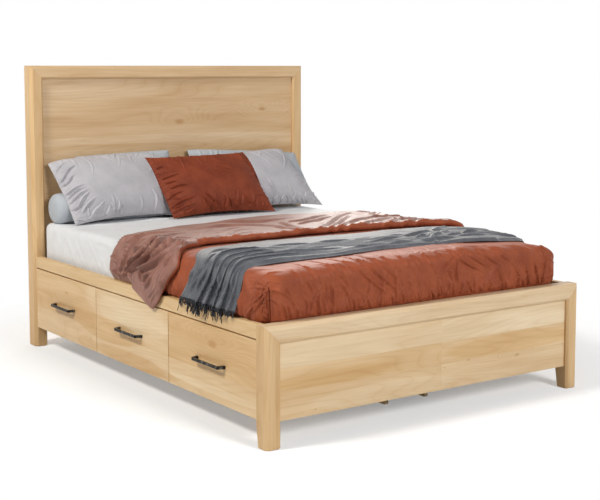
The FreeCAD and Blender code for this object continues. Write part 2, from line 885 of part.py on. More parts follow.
def rounded(label_stem, x_half, y_pair, z_pair, radius, bottom_too):
    """A block with rounded vertical and top edges, and bottom edges where asked."""
    body = new_body(label_stem)
    low, high = y_pair
    pad(body, "XY_Plane", [(-x_half, low), (x_half, low), (x_half, high), (-x_half, high)], z_pair[1] - z_pair[0])
    base = body.Tip
    floor_z = near
    names = []
    for number, edge in enumerate(base.Shape.Edges, start=1):
        if bottom_too or edge.BoundBox.ZMax > floor_z:
            names.append("Edge%d" % number)
    fillet = body.newObject("PartDesign::Fillet", fresh("fillet"))
    fillet.Base = (base, names)
    fillet.setExpression("Radius", text_of(radius))
    doc.recompute()
    return place(body, 0, 0, z_pair[0])


mattress_half = rail_inner - S.mattress_side_gap
mattress_high_y = head_front - S.mattress_head_gap
mattress_low_y = foot_back + S.mattress_foot_gap
mattress_low = slat_top + S.soft_gap
mattress_top = mattress_low + S.mattress_thick
sheet_grow = S.soft_gap + S.sheet_thick
sheet_top = mattress_top + sheet_grow


def make_mattress():
    """The mattress, and the fitted sheet as a thin skin over its top and sides."""
    half = mattress_half
    keep(rounded("mattress", half, (mattress_low_y, mattress_high_y), (mattress_low, mattress_top),
                 S.mattress_round, True), "mattress")
    hem = slat_top + S.sheet_hem_lift
    skins = []
    for grow in (S.soft_gap, sheet_grow):
        skins.append(rounded("sheet", half + grow, (mattress_low_y - grow, mattress_high_y + grow),
                             (hem, mattress_top + grow), S.mattress_round + grow, False))
    keep(cut(skins[1], [skins[0]], "sheet"), "fitted_sheet")


def arc(first, middle, last):
    return Part.Arc(first, middle, last).toShape()


def line(first, last):
    return Part.LineSegment(first, last).toShape()


def duvet_wire(y, grow, squeeze=0.0):
    """The bedding's outline across the bed at one Y: tucked sides, bulge, rounded shoulder and crown."""
    base = float(rail_inner - S.soft_gap)
    bulge = base + float(S.duvet_bulge) + grow - squeeze
    top = float(sheet_top + S.duvet_loft) + grow - squeeze
    edge_top = float(sheet_top + S.duvet_edge_loft) + grow - squeeze
    tuck = float(rail_top - S.duvet_tuck)
    lift = float(rail_top + S.soft_gap)
    side_z = edge_top - float(S.duvet_shoulder_drop)
    side_x = base + grow - squeeze
    shoulder_x = side_x - float(S.duvet_shoulder_in)
    bulge_z = edge_top - float(S.duvet_bulge_drop)
    corner = float(S.duvet_shoulder_in) * shoulder_share
    corner_z = float(S.duvet_shoulder_drop) * shoulder_share
    start_x = base + max(grow - squeeze, 0.0) if grow else base
    left = [
        line(V(-start_x, y, tuck), V(-start_x, y, lift)),
        arc(V(-start_x, y, lift), V(-bulge, y, bulge_z), V(-side_x, y, side_z)),
        arc(V(-side_x, y, side_z), V(-side_x + corner, y, edge_top - corner_z), V(-shoulder_x, y, edge_top)),
    ]
    right = [
        arc(V(shoulder_x, y, edge_top), V(side_x - corner, y, edge_top - corner_z), V(side_x, y, side_z)),
        arc(V(side_x, y, side_z), V(bulge, y, bulge_z), V(start_x, y, lift)),
        line(V(start_x, y, lift), V(start_x, y, tuck)),
    ]
    crown = [arc(V(-shoulder_x, y, edge_top), V(0, y, top), V(shoulder_x, y, edge_top))]
    return Part.Wire(left + crown + right + [line(V(start_x, y, tuck), V(-start_x, y, tuck))])


def prism(points, axis, start, end):
    """A straight prism over an outline of points given in the two other axes, in X, Y, Z order."""
    spots = []
    for first, second in points:
        place_at = [float(first), float(second)]
        place_at.insert(axis, float(start))
        spots.append(V(*place_at))
    face = Part.Face(Part.makePolygon(spots + spots[:1]))
    push = [0.0, 0.0, 0.0]
    push[axis] = float(end) - float(start)
    return face.extrude(V(*push))


def crease_line():
    """The duvet's folded edge seen from above, from the left rail to the right one."""
    near_x = float(rail_inner - S.duvet_crease_near_inset)
    far = float(foot_back + S.duvet_crease_far)
    side_y = float(foot_back + S.duvet_crease_side)
    wide = float(S.bed_width)
    return [
        (-wide, side_y),
        (-float(rail_inner), side_y),
        (-near_x, float(foot_back + S.duvet_crease_near)),
        (near_x, far),
        (wide, far),
    ]


def hem_line():
    """The turned back edge seen from above."""
    wide = float(half_width)
    return [(-wide, float(foot_back + S.duvet_hem_near)), (wide, float(foot_back + S.duvet_hem_far))]


def make_duvet():
    """The duvet: a puffed cover over the mattress, its head end folded back, one corner hanging outside."""
    high = float(S.head_height)
    front_y = float(mattress_low_y - sheet_grow - S.soft_gap)
    puff = float(S.duvet_foot_puff)
    loft = float(S.duvet_loft)
    stations = [(float(foot_back) - puff * out, loft * down) for out, down in foot_puff_shares]
    stations += [(front_y + loft * along, loft * down) for along, down in foot_rise_shares]
    stations.append((float(head_front), 0.0))
    base = Part.makeLoft([duvet_wire(y, 0.0, squeeze) for y, squeeze in stations], True, True)
    edge = crease_line()
    foot_y = float(foot_front)
    wide = float(S.bed_width)
    base = base.common(prism([(-wide, foot_y)] + edge + [(wide, foot_y)], 2, 0, high))
    turn = float(S.duvet_turn_thick)
    hem = hem_line()
    over_block = Part.makeLoft([duvet_wire(y, turn) for y in (foot_y, float(head_front))], True, True)
    region = prism(hem + list(reversed(edge)), 2, 0, high)
    cover = base.fuse(over_block.common(region))
    inside = rounded_solid(S.soft_gap + sheet_grow)
    cover = cover.cut(inside)
    rails = rail_keep_out(float(S.soft_gap))
    cover = cover.cut(rails)
    tip = make_hanging_corner()
    cover = cover.fuse(tip).removeSplitter()
    soft("duvet", largest(cover))


def rounded_solid(grow):
    """The mattress with its sheet, grown all round, as a tool for what lies over it."""
    size = float(grow)
    half = float(mattress_half) + size
    low_y = float(mattress_low_y) - size
    high_y = float(mattress_high_y) + size
    low = float(slat_top)
    high = float(mattress_top) + size
    box = Part.makeBox(half * 2, high_y - low_y, high - low, V(-half, low_y, low))
    edges = [edge for edge in box.Edges if edge.BoundBox.ZMax > low + near]
    return box.makeFillet(float(S.mattress_round) + size, edges)


def rail_keep_out(gap):
    """The side rails and the footboard with a gap round them, as one tool."""
    wide = float(S.bed_width)
    top = float(rail_top) + gap
    foot_top = float(S.foot_height) + gap
    inner = float(rail_inner) - gap
    back = float(foot_back) + gap
    long_run = float(S.bed_length)
    right = Part.makeBox(wide, long_run * 2, top, V(inner, -long_run, 0))
    left = Part.makeBox(wide, long_run * 2, top, V(-inner - wide, -long_run, 0))
    foot = Part.makeBox(wide * 2, long_run, foot_top, V(-wide, back - long_run, 0))
    return right.fuse([left, foot])


def make_hanging_corner():
    """The duvet's free corner: a folded flap over the left rail that ends in a point."""
    gap = float(S.soft_gap)
    thick = float(S.duvet_tip_thick)
    fold = float(S.duvet_tip_fold)
    outer = float(rail_outer) + gap
    top = float(rail_top) + gap
    tip_z = float(rail_low)
    hem_y = float(foot_back + S.duvet_hem_near)
    width = float(S.duvet_tip_width)
    start = hem_y + width * tip_start_share
    run = width * (tip_end_share - tip_start_share)
    count = 6
    wires = []
    for number in range(count + 1):
        y = start + run * number / count
        swell = thick + (fold if number % 2 else 0.0)
        inner_x = float(rail_inner) - thick
        spots = [
            V(-inner_x, y, top),
            V(-outer, y, top),
            V(-outer, y, tip_z - thick),
            V(-outer - swell, y, tip_z - thick),
            V(-outer - swell, y, top + swell),
            V(-inner_x, y, top + swell * 2),
        ]
        wires.append(Part.makePolygon(spots + spots[:1]))
    flap = Part.makeLoft(wires, True, True)
    high = float(rail_top) + float(S.duvet_bulge_drop)
    spots = [hem_y + width * share for share in tip_outline_shares]
    triangle = [
        (hem_y, high),
        (spots[0], top),
        (spots[1], tip_z),
        (spots[2], tip_z),
        (spots[3], top),
        (spots[3], high),
    ]
    shape = prism(triangle, 0, -float(S.bed_width), 0)
    return flap.common(shape)


def make_throw():
    """The throw: a strip of long folds across the bed that hangs over the left side."""
    count = int(float(S.throw_fold_count))
    low_y = float(foot_back + S.throw_foot_gap)
    high_y = low_y + float(S.throw_width)
    thin = float(S.throw_thick)
    fold = float(S.throw_fold)
    steps = count * 2
    wires = []
    for number in range(steps + 1):
        y = low_y + (high_y - low_y) * number / steps
        wires.append(duvet_wire(y, thin + (fold if number % 2 else 0.0)))
    strip = Part.makeLoft(wires, True, True)
    gap = float(S.soft_gap)
    under = Part.makeLoft([duvet_wire(y, gap) for y in (low_y - fold, high_y + fold)], True, True)
    strip = strip.cut(under)
    strip = strip.cut(turned_block(gap))
    hem = float(rail_top) + float(S.throw_hem_lift)
    far = float(sheet_top) - float(S.throw_far_drop)
    wide = float(S.bed_width)
    long_run = float(S.bed_length)
    strip = strip.cut(Part.makeBox(wide, long_run, hem, V(-wide, -long_run / 2, 0)))
    strip = strip.cut(Part.makeBox(wide, long_run, far, V(0, -long_run / 2, 0)))
    side_y = low_y + float(S.throw_hang_width)
    slant = [(side_y, 0), (side_y, hem), (high_y, float(sheet_top)), (long_run, float(sheet_top)), (long_run, 0)]
    strip = strip.cut(prism(slant, 0, -wide, -float(rail_inner) + float(S.duvet_shoulder_in)))
    soft("throw_blanket", largest(strip))


def turned_block(gap):
    """The turned back layer of the duvet grown by a gap, as a tool for the throw."""
    grow = float(S.duvet_turn_thick) + gap
    whole = Part.makeLoft([duvet_wire(y, grow) for y in (float(foot_front), float(head_front))], True, True)
    hem = [(x, y - gap) for x, y in hem_line()]
    return whole.common(prism(hem + list(reversed(crease_line())), 2, 0, float(S.head_height)))


def largest(shape):
    """The main solid of a shape, without shavings."""
    return max(shape.Solids, key=lambda solid: solid.Volume)


def pillow_solid(length, height, thick, grow):
    """A stuffed pillow standing on its lower seam: crowned faces, seams drawn in between the corners."""
    seam = float(S.pillow_seam) + grow * 2
    long_half = float(length) / 2 + grow
    tall = float(height) + grow * 2
    full = float(thick) + grow * 2
    wires = []
    edge = seam / 2
    low = -grow
    high = tall - grow
    middle = (low + high) / 2
    for share, swell in pillow_swell_shares:
        x = long_half * share
        half = max(full * swell / 2, edge * seam_crown_share)
        wires.append(Part.Wire([
            line(V(x, edge, low), V(x, -edge, low)),
            arc(V(x, -edge, low), V(x, -half, middle), V(x, -edge, high)),
            line(V(x, -edge, high), V(x, edge, high)),
            arc(V(x, edge, high), V(x, half, middle), V(x, edge, low)),
        ]))
    body = Part.makeLoft(wires, True, False)
    draw = float(S.pillow_draw)
    corners = [V(-long_half, 0, low), V(long_half, 0, low), V(long_half, 0, high), V(-long_half, 0, high)]
    centre = (corners[0] + corners[2]) / 2
    edges = []
    for first, last in zip(corners, corners[1:] + corners[:1]):
        middle = (first + last) / 2
        inward = (centre - middle).normalize()
        edges.append(arc(first, middle + inward * draw, last))
    face = Part.Face(Part.Wire(edges))
    face.translate(V(0, -full, 0))
    return body.common(face.extrude(V(0, full * 2, 0)))


def stand(shape, x, y, tilt, yaw):
    """Leans a pillow back about its lower seam, turns it and sets it on the sheet, pressed in a little."""
    shape.rotate(V(0, 0, 0), V(1, 0, 0), -tilt)
    shape.rotate(V(0, 0, 0), V(0, 0, 1), yaw)
    shape.translate(V(x, y, float(sheet_top + S.soft_gap - S.pillow_sink)))
    return shape


def bedding_keep_out():
    """What the pillows may not enter: below the sheet's top, the head panel and the head posts."""
    gap = float(S.soft_gap)
    wide = float(S.bed_width)
    long_run = float(S.bed_length)
    high = float(S.head_height)
    ground = Part.makeBox(wide * 2, long_run * 2, float(sheet_top) + gap, V(-wide, -long_run, 0))
    panel = Part.makeBox(wide * 2, long_run, high, V(-wide, float(head_panel_front) - gap, 0))
    post_x = float(half_width - S.head_member) - gap
    front = float(head_front) - gap
    left = Part.makeBox(wide, long_run, high, V(-post_x - wide, front, 0))
    right = Part.makeBox(wide, long_run, high, V(post_x, front, 0))
    return ground.fuse([panel, left, right])


def bolster_solid(grow):
    """A round bolster along X with domed ends."""
    radius = float(S.bolster_radius) + grow
    half = float(S.bolster_length) / 2 + grow
    dome = float(S.bolster_dome)
    edges = [
        line(V(-half, 0, 0), V(half, 0, 0)),
        arc(V(half, 0, 0), V(half - dome * dome_across_share, 0, radius * dome_up_share), V(half - dome, 0, radius)),
        line(V(half - dome, 0, radius), V(-half + dome, 0, radius)),
        arc(V(dome - half, 0, radius), V(dome * dome_across_share - half, 0, radius * dome_up_share), V(-half, 0, 0)),
    ]
    shape = Part.Face(Part.Wire(edges)).revolve(V(0, 0, 0), V(1, 0, 0), 360)
    x = -float(rail_inner) + float(S.bolster_length) / 2
    y = float(head_front) - float(S.bolster_radius)
    z = float(sheet_top + S.soft_gap - S.bolster_press) + float(S.bolster_radius)
    shape.translate(V(x, y, z))
    return shape


def make_pillows():
    """Two back pillows, two front pillows, the bolster and the rust cushion, each pressed flat where it rests."""
    gap = float(S.soft_gap)
    walls = bedding_keep_out()
    rest_y = float(head_front)
    half = float(half_width)
    back = (S.back_pillow_length, S.back_pillow_height, S.back_pillow_thick)
    front = (S.pillow_length, S.pillow_height, S.pillow_thick)
    cushion = (S.cushion_length, S.cushion_height, S.cushion_thick)
    high = float(S.back_pillow_height)
    # Label, size, place, and the degrees that it leans back and turns
    plan = (
        ("pillow_left_back", back, back_left_shares, 24, 0),
        ("pillow_right_back", back, back_right_shares, 24, 0),
        ("pillow_left_front", front, front_left_shares, 37, 7),
        ("pillow_right_front", front, front_right_shares, 36, -4),
        ("rust_cushion", cushion, cushion_shares, 38, 0),
    )
    soft("bolster", largest(bolster_solid(0.0).cut(walls)))
    blockers = [bolster_solid(gap)]
    for label, size, place_shares, tilt, yaw in plan:
        where = (half * place_shares[0], rest_y - high * place_shares[1], tilt, yaw)
        shape = stand(pillow_solid(*size, 0.0), *where)
        shape = shape.cut(walls)
        for blocker in blockers:
            shape = shape.cut(blocker)
        soft(label, largest(shape))
        blockers.append(stand(pillow_solid(*size, gap), *where))


make_head_and_foot()
make_side_rail("left", LEFT)
make_side_rail("right", RIGHT)
make_partitions()
make_spine()
make_slats()
make_fittings()
make_drawers()
make_mattress()
make_duvet()
make_throw()
make_pillows()
doc.recompute()

# Every object has to be sound before anything is written
for obj in doc.Objects:
    if "Invalid" in obj.State or "Error" in obj.State:
        raise RuntimeError("%s failed to build" % obj.Label)
for obj in nodes:
    if obj.Shape.isNull() or not obj.Shape.isValid() or not obj.Shape.Solids:
        raise RuntimeError("%s has no sound shape" % obj.Label)

os.makedirs("parts", exist_ok=True)
for obj in nodes:
    obj.Shape.exportStep("parts/%s.step" % obj.Label)
print(len(nodes), "sub-parts written")
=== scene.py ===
import bmesh
import bpy
import math
import numpy as np
from fnmatch import fnmatchcase
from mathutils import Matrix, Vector
from mathutils.bvhtree import BVHTree


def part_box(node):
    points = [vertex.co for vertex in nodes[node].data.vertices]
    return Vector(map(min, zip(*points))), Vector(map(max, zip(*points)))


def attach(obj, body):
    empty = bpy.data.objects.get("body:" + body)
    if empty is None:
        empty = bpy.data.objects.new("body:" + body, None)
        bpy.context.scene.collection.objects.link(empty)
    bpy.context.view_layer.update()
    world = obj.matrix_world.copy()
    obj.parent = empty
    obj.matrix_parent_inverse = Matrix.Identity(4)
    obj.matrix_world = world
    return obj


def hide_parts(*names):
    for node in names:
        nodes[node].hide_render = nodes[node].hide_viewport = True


# A timber storage bed dressed with bedding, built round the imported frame.
# X runs across the bed, Y towards the headboard and Z up; shapes are worked out in millimetres.
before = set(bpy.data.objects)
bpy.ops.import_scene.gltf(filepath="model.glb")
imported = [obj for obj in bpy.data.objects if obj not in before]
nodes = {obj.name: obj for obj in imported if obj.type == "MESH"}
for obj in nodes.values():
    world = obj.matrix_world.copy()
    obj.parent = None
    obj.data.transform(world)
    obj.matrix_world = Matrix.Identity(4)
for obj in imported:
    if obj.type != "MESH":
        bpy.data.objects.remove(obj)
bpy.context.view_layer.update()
scene = bpy.context.scene
MM = 0.001

# Camera and light
WIDE, TALL = 600, 500
FOCAL, CENTRE_X, CENTRE_Y = 1246.0, 300.0, 190.0  # in pixels of the picture
EYE = Vector((-3.286, -4.837, 1.412))
YAW, PITCH = math.radians(-34.954), math.radians(-5.628)
camera = bpy.data.objects.new("camera", bpy.data.cameras.new("camera"))
scene.collection.objects.link(camera)
scene.camera = camera
camera.data.lens = camera.data.sensor_width * FOCAL / WIDE
camera.data.shift_y = (CENTRE_Y - TALL / 2) / WIDE
camera.data.clip_end = 60
camera.location = EYE
camera.rotation_euler = (math.pi / 2 + PITCH, 0, YAW)
AHEAD = Vector((-math.sin(YAW) * math.cos(PITCH), math.cos(YAW) * math.cos(PITCH), math.sin(PITCH)))
RIGHTWARD = Vector((math.cos(YAW), math.sin(YAW), 0))
UPWARD = RIGHTWARD.cross(AHEAD)


def sight(px, py):
    """The direction from the eye through a picture point."""
    return (AHEAD + RIGHTWARD * (px - CENTRE_X) / FOCAL - UPWARD * (py - CENTRE_Y) / FOCAL).normalized()


def linear(text):
    """Scene-linear colour of an sRGB hex value."""
    parts = [int(text[i:i + 2], 16) / 255 for i in (0, 2, 4)]
    return [p / 12.92 if p <= 0.04045 else ((p + 0.055) / 1.055) ** 2.4 for p in parts] + [1.0]


def add(tree, kind, inputs=None, **settings):
    """Adds a node, sets its properties, and sets or links its inputs by name or number.

    A kind without Node in it is a shader node's. A node given as an input stands for its first output in use.
    """
    made = tree.nodes.new(kind if "Node" in kind else "ShaderNode" + kind)
    for name, value in settings.items():
        setattr(made, name, value)
    for key, value in (inputs or {}).items():
        if isinstance(value, bpy.types.Node):
            value = next(socket for socket in value.outputs if socket.enabled)
        if isinstance(value, bpy.types.NodeSocket):
            tree.links.new(value, made.inputs[key])
        else:
            made.inputs[key].default_value = value
    return made


def new_material(name):
    material = bpy.data.materials.new(name)
    material.use_nodes = True
    material.node_tree.nodes.clear()
    return material, material.node_tree


def seen_share(tree):
    """1 for rays of the camera, mirrors and glass, 0 for those that only light."""
    rays = add(tree, "LightPath")
    seen = rays.outputs["Is Camera Ray"]
    for kind in ("Is Glossy Ray", "Is Transmission Ray"):
        seen = add(tree, "Math", {0: seen, 1: rays.outputs[kind]}, operation="MAXIMUM")
    return seen


def area_lamp(name, place, target, size, watts, tint):
    data = bpy.data.lights.new(name, "AREA")
    data.shape, data.size, data.energy, data.color = "DISK", size, watts, linear(tint)[:3]
    lamp = bpy.data.objects.new(name, data)
    scene.collection.objects.link(lamp)
    lamp.location = place
    lamp.rotation_euler = (Vector(target) - Vector(place)).to_track_quat("-Z", "Y").to_euler()


# one lamp at the upper left gives the shadows; two larger ones fill from behind and from the front
area_lamp("window_softbox", (-4.9, -0.3, 4.7), (0, -0.3, 0.5), 1.2, 275, "FFFCF6")
area_lamp("rear_softbox", (2.6, 4.0, 2.9), (0, -0.5, 0.6), 2.0, 190, "FFFDF8")
area_lamp("front_softbox", (0.6, -8.8, 4.6), (0, 0, 0.5), 3.0, 455, "FFFFFF")

# pure white to the camera, and a dim bluish white to what it lights
world = bpy.data.worlds.new("studio")
scene.world = world
world.use_nodes = True
world.node_tree.nodes.clear()
sky = world.node_tree
fill = add(sky, "Background", {"Color": linear("F4F6FA"), "Strength": 0.16})
white = add(sky, "Background", {"Color": (1, 1, 1, 1), "Strength": 1.0})
both = add(sky, "MixShader", {0: seen_share(sky), 1: fill, 2: white})
add(sky, "OutputWorld", {"Surface": both})

# Timber


def timber(name, along, honey, pale, courses=(), figure=(), knots=(), gloss=0.42, base_share=0.3):
    """Clear lacquered hardwood: fine fibres, faint flat-sawn rings and boards of differing tone.

    along is the grain's axis. courses are (axis, [(edge in mm, tone share), ...]) for glued boards. figure
    lists soft patches of heartwood or sapwood as (Y or X, Z, half length, half height, change of tone share),
    in mm, and knots are (Y or X, Z, reach) in mm; both lie on the face that the grain runs along.
    """
    material, tree = new_material(name)
    place = add(tree, "TexCoord").outputs["Object"]
    parts = add(tree, "SeparateXYZ", {0: place})
    # the right-hand drawers carry the same figure turned end for end
    flip = add(tree, "Math", {0: parts.outputs["X"]}, operation="SIGN")
    turned = add(tree, "Math", {0: parts.outputs["Y"], 1: flip}, operation="MULTIPLY")
    turned = add(tree, "Math", {0: turned, 1: -1.0}, operation="MULTIPLY")
    length = {"X": parts.outputs["X"], "Y": turned, "Z": parts.outputs["X"]}[along]
    face = add(tree, "CombineXYZ", {0: length, 1: parts.outputs["Z"]})
    tone = add(tree, "Value")
    tone.outputs[0].default_value = base_share
    for axis, edges in courses:
        low, high = edges[0][0], edges[-1][0]
        source = parts.outputs["Z"] if axis == "Z" else length
        spread = add(tree, "MapRange", {"Value": source, "From Min": low * MM, "From Max": high * MM})
        ramp = add(tree, "ValToRGB", {0: spread})
        ramp.color_ramp.interpolation = "CONSTANT"
        for number, (edge, share) in enumerate(edges[:-1]):
            spot = (edge - low) / (high - low)
            stop = ramp.color_ramp.elements[0] if number == 0 else ramp.color_ramp.elements.new(spot)
            stop.position = spot
            stop.color = (share, share, share, 1)
        ramp.color_ramp.elements.remove(ramp.color_ramp.elements[-1])
        tone = add(tree, "Math", {0: tone, 1: ramp}, operation="ADD")
    shift = add(tree, "Math", {0: tone, 1: 7.3}, operation="MULTIPLY")
    moved = add(tree, "VectorMath", {0: place, 1: shift}, operation="ADD")

    def gap_from(middle, height, half_length, half_height):
        """How far a point of the face is from an oval's middle, with 1 on the oval."""
        local = add(tree, "Mapping", {"Vector": face, "Location": (middle * MM, height * MM, 0),
                                      "Scale": (half_length * MM, half_height * MM, 1)},
                    vector_type="TEXTURE")
        return add(tree, "VectorMath", {0: local}, operation="LENGTH")

    # the figure changes over about 150 mm across the grain, and over ten times that along it
    stretch = [0.10 if axis == along else 1.0 for axis in "XYZ"]
    run = add(tree, "Mapping", {"Vector": moved, "Scale": stretch})
    slow = add(tree, "TexNoise", {"Vector": run, "Scale": 6.5, "Detail": 1.0, "Roughness": 0.4})
    for middle, height, half_length, half_height, change in figure:
        reach = gap_from(middle, height, half_length, half_height)
        rough = add(tree, "Math", {0: slow, 1: 0.9, 2: reach}, operation="MULTIPLY_ADD")
        patch = add(tree, "MapRange", {"Value": rough, "From Min": 1.2, "From Max": 1.45, "To Min": change,
                                       "To Max": 0.0}, interpolation_type="SMOOTHSTEP")
        tone = add(tree, "Math", {0: tone, 1: patch}, operation="ADD")
    rings = slow
    shade = None
    for middle, height, reach in knots:
        gap = gap_from(middle, height, reach * 2.2, reach)
        bend = add(tree, "MapRange", {"Value": gap, "From Max": 1.0, "To Min": 0.22, "To Max": 0.0},
                   interpolation_type="SMOOTHSTEP")
        rings = add(tree, "Math", {0: rings, 1: bend}, operation="ADD")
        eye = add(tree, "MapRange", {"Value": gap, "From Min": 0.03, "From Max": 0.16, "To Min": 0.6,
                                     "To Max": 0.0})
        shade = add(tree, "Math", {0: shade, 1: eye}, operation="ADD") if shade else eye
    # rings show as thin late-wood lines, 10 to 40 mm apart
    count = add(tree, "Math", {0: rings, 1: 22.0}, operation="MULTIPLY")
    saw = add(tree, "Math", {0: count, 1: 1.0}, operation="FRACT")
    ring = add(tree, "ValToRGB", {0: saw})
    for stop in ring.color_ramp.elements:
        stop.color = (0.5, 0.5, 0.5, 1)
    for spot, value in ((0.35, 0.0), (0.8, 0.3), (0.94, 1.0)):
        ring.color_ramp.elements.new(spot).color = (value, value, value, 1)
    # fibres are drawn 3 mm across, coarser than the real 0.2 mm, so that they show
    fine = [5.0 if axis == along else 330.0 for axis in "XYZ"]
    thread = add(tree, "Mapping", {"Vector": moved, "Scale": fine})
    fibre = add(tree, "TexNoise", {"Vector": thread, "Scale": 1.0, "Detail": 3.0, "Roughness": 0.65})
    broad = add(tree, "TexNoise", {"Vector": run, "Scale": 16.0, "Detail": 3.0})
    mixed = add(tree, "Math", {0: ring, 1: 0.10}, operation="MULTIPLY")
    mixed = add(tree, "Math", {0: fibre, 1: 0.30, 2: mixed}, operation="MULTIPLY_ADD")
    mixed = add(tree, "Math", {0: broad, 1: 0.60, 2: mixed}, operation="MULTIPLY_ADD")
    depth = add(tree, "MapRange", {"Value": mixed, "From Min": 0.25, "From Max": 0.75})
    total = add(tree, "Math", {0: depth, 1: shade}, operation="ADD", use_clamp=True) if shade else depth
    base = add(tree, "Mix", {0: tone, 6: linear(honey), 7: linear(pale)}, data_type="RGBA", clamp_factor=True)
    dark = add(tree, "Mix", {0: 1.0, 6: base, 7: linear("DFCDB6")}, data_type="RGBA", blend_type="MULTIPLY")
    light = add(tree, "Mix", {0: 0.22, 6: base, 7: linear("F6E8CC")}, data_type="RGBA")
    colour = add(tree, "Mix", {0: total, 6: light, 7: dark}, data_type="RGBA")
    sheen = add(tree, "MapRange", {"Value": fibre, "To Min": gloss - 0.06, "To Max": gloss + 0.1})
    soft_edge = add(tree, "Bevel", {"Radius": 0.0018}, samples=4)
    bump = add(tree, "Bump", {"Height": fibre, "Strength": 0.08, "Distance": 0.0005, "Normal": soft_edge})
    shader = add(tree, "BsdfPrincipled", {"Base Color": colour, "Roughness": sheen, "Normal": bump,
                                          "IOR": 1.48})
    shader.inputs["Specular IOR Level"].default_value = 0.4
    add(tree, "OutputMaterial", {"Surface": shader})
    return material


HONEY = "D6B076"
# rubber wood or ash under clear matt lacquer: upright grain in the posts, lengthwise in the rails
lacquered_post = timber("lacquered_upright_timber", "Z", "D0A972", "DFC294")
lacquered_rail = timber("lacquered_cross_timber", "X", "D3AE7A", "E6D2B2",
                        courses=[("Z", [(0, 0.45), (600, 0.0), (1500, 0.0)])])
lacquered_side = timber("lacquered_side_timber", "Y", "D6B47C", "E2C89A")
# panels and drawer fronts glued up from boards of differing tone, with a few knots
head_boards = timber(
    "headboard_glued_boards", "X", "CBA777", "DCC3A0", base_share=0.0,
    courses=[("Z", [(150, 0.3), (420, 0.6), (650, 0.25), (830, 0.5), (1010, 0.35), (1244, 0.45),
                    (1400, 0.5)])],
    figure=[(-420, 1290, 380, 60, 0.3), (-100, 1030, 900, 26, 0.45), (300, 950, 700, 70, -0.35)],
    knots=[(30, 1120, 110), (560, 1180, 90)])
foot_boards = timber(
    "footboard_glued_boards", "X", HONEY, "EAD8B8", base_share=0.0,
    courses=[("Z", [(60, 0.42), (205, 0.22), (296, 0.8), (430, 0.8)]),
             ("X", [(-800, 0.0), (40, 0.14), (800, 0.14)])],
    figure=[(480, 250, 420, 48, -0.35), (-500, 240, 330, 30, -0.2), (-300, 140, 420, 50, 0.3)],
    knots=[(190, 205, 34), (470, 190, 60), (-590, 120, 26), (60, 190, 22)])
front_boards = timber(
    "drawer_front_glued_boards", "Y", HONEY, "E8D3AE", base_share=0.0,
    courses=[("Z", [(60, 0.5), (212, 0.08), (430, 0.08)]),
             ("Y", [(-1050, -0.32), (-347, 0.30), (336, 0.06), (1060, 0.06)])],
    figure=[(20, 350, 420, 110, 0.55), (230, 225, 330, 62, -0.75), (-10, 130, 420, 45, -0.65),
            (430, 130, 120, 36, -0.45), (-690, 148, 400, 16, 0.7)],
    knots=[(-700, 330, 120), (660, 330, 70)])
# drawer boxes and spine in birch plywood, slats in planed pine, partitions in plain board: dull, unlacquered
box_ply = timber("sanded_plywood", "Y", "DCC59B", "E6D6B4", gloss=0.6)
planed_pine = timber("planed_pine", "X", "E0C592", "EAD6AC", gloss=0.6)
carcass_board = timber("sanded_carcass_board", "X", "D6BB8C", "E0CBA2", gloss=0.6)


def metal(name, tint, rough, brushed, wear):
    """Metal with fine drawn lines along Y and rubbed, lighter patches."""
    material, tree = new_material(name)
    place = add(tree, "TexCoord").outputs["Object"]
    # lines about 1 mm apart and 33 mm long, coarser than real brushing so that they show, and 17 mm patches
    run = add(tree, "Mapping", {"Vector": place, "Scale": (900.0, 30.0, 900.0)})
    lines = add(tree, "TexNoise", {"Vector": run, "Scale": 1.0, "Detail": 2.0})
    patch = add(tree, "TexNoise", {"Vector": place, "Scale": 60.0, "Detail": 4.0})
    worn = add(tree, "MapRange", {"Value": patch, "From Min": 0.5, "From Max": 0.7, "To Max": wear})
    colour = add(tree, "Mix", {0: worn, 6: linear(tint), 7: linear("B9B5AC")}, data_type="RGBA")
    level = add(tree, "MapRange", {"Value": lines, "To Min": rough - brushed, "To Max": rough + brushed})
    bump = add(tree, "Bump", {"Height": lines, "Strength": 0.15, "Distance": 0.0003})
    shader = add(tree, "BsdfPrincipled", {"Base Color": colour, "Metallic": 1.0, "Roughness": level,
                                          "Normal": bump})
    add(tree, "OutputMaterial", {"Surface": shader})
    return material


# cast zinc with a dark antique finish, rubbed back to pewter at its bends
antique_pewter = metal("antique_pewter", "232220", 0.36, 0.1, 0.3)
# zinc plate on pressed steel: pale, and more even than the handles
zinc_plate = metal("zinc_plated_steel", "B4B8BA", 0.35, 0.08, 0.2)


def moulded_nylon():
    """Black moulded nylon, faintly pebbled."""
    material, tree = new_material("moulded_nylon")
    place = add(tree, "TexCoord").outputs["Object"]
    # pebbles about 1 mm across, coarser than the mould's own so that they show
    grain = add(tree, "TexNoise", {"Vector": place, "Scale": 900.0, "Detail": 2.0})
    bump = add(tree, "Bump", {"Height": grain, "Strength": 0.2, "Distance": 0.0003})
    shader = add(tree, "BsdfPrincipled", {"Base Color": linear("2B2B2B"), "Roughness": 0.55, "Normal": bump})
    add(tree, "OutputMaterial", {"Surface": shader})
    return material


black_nylon = moulded_nylon()

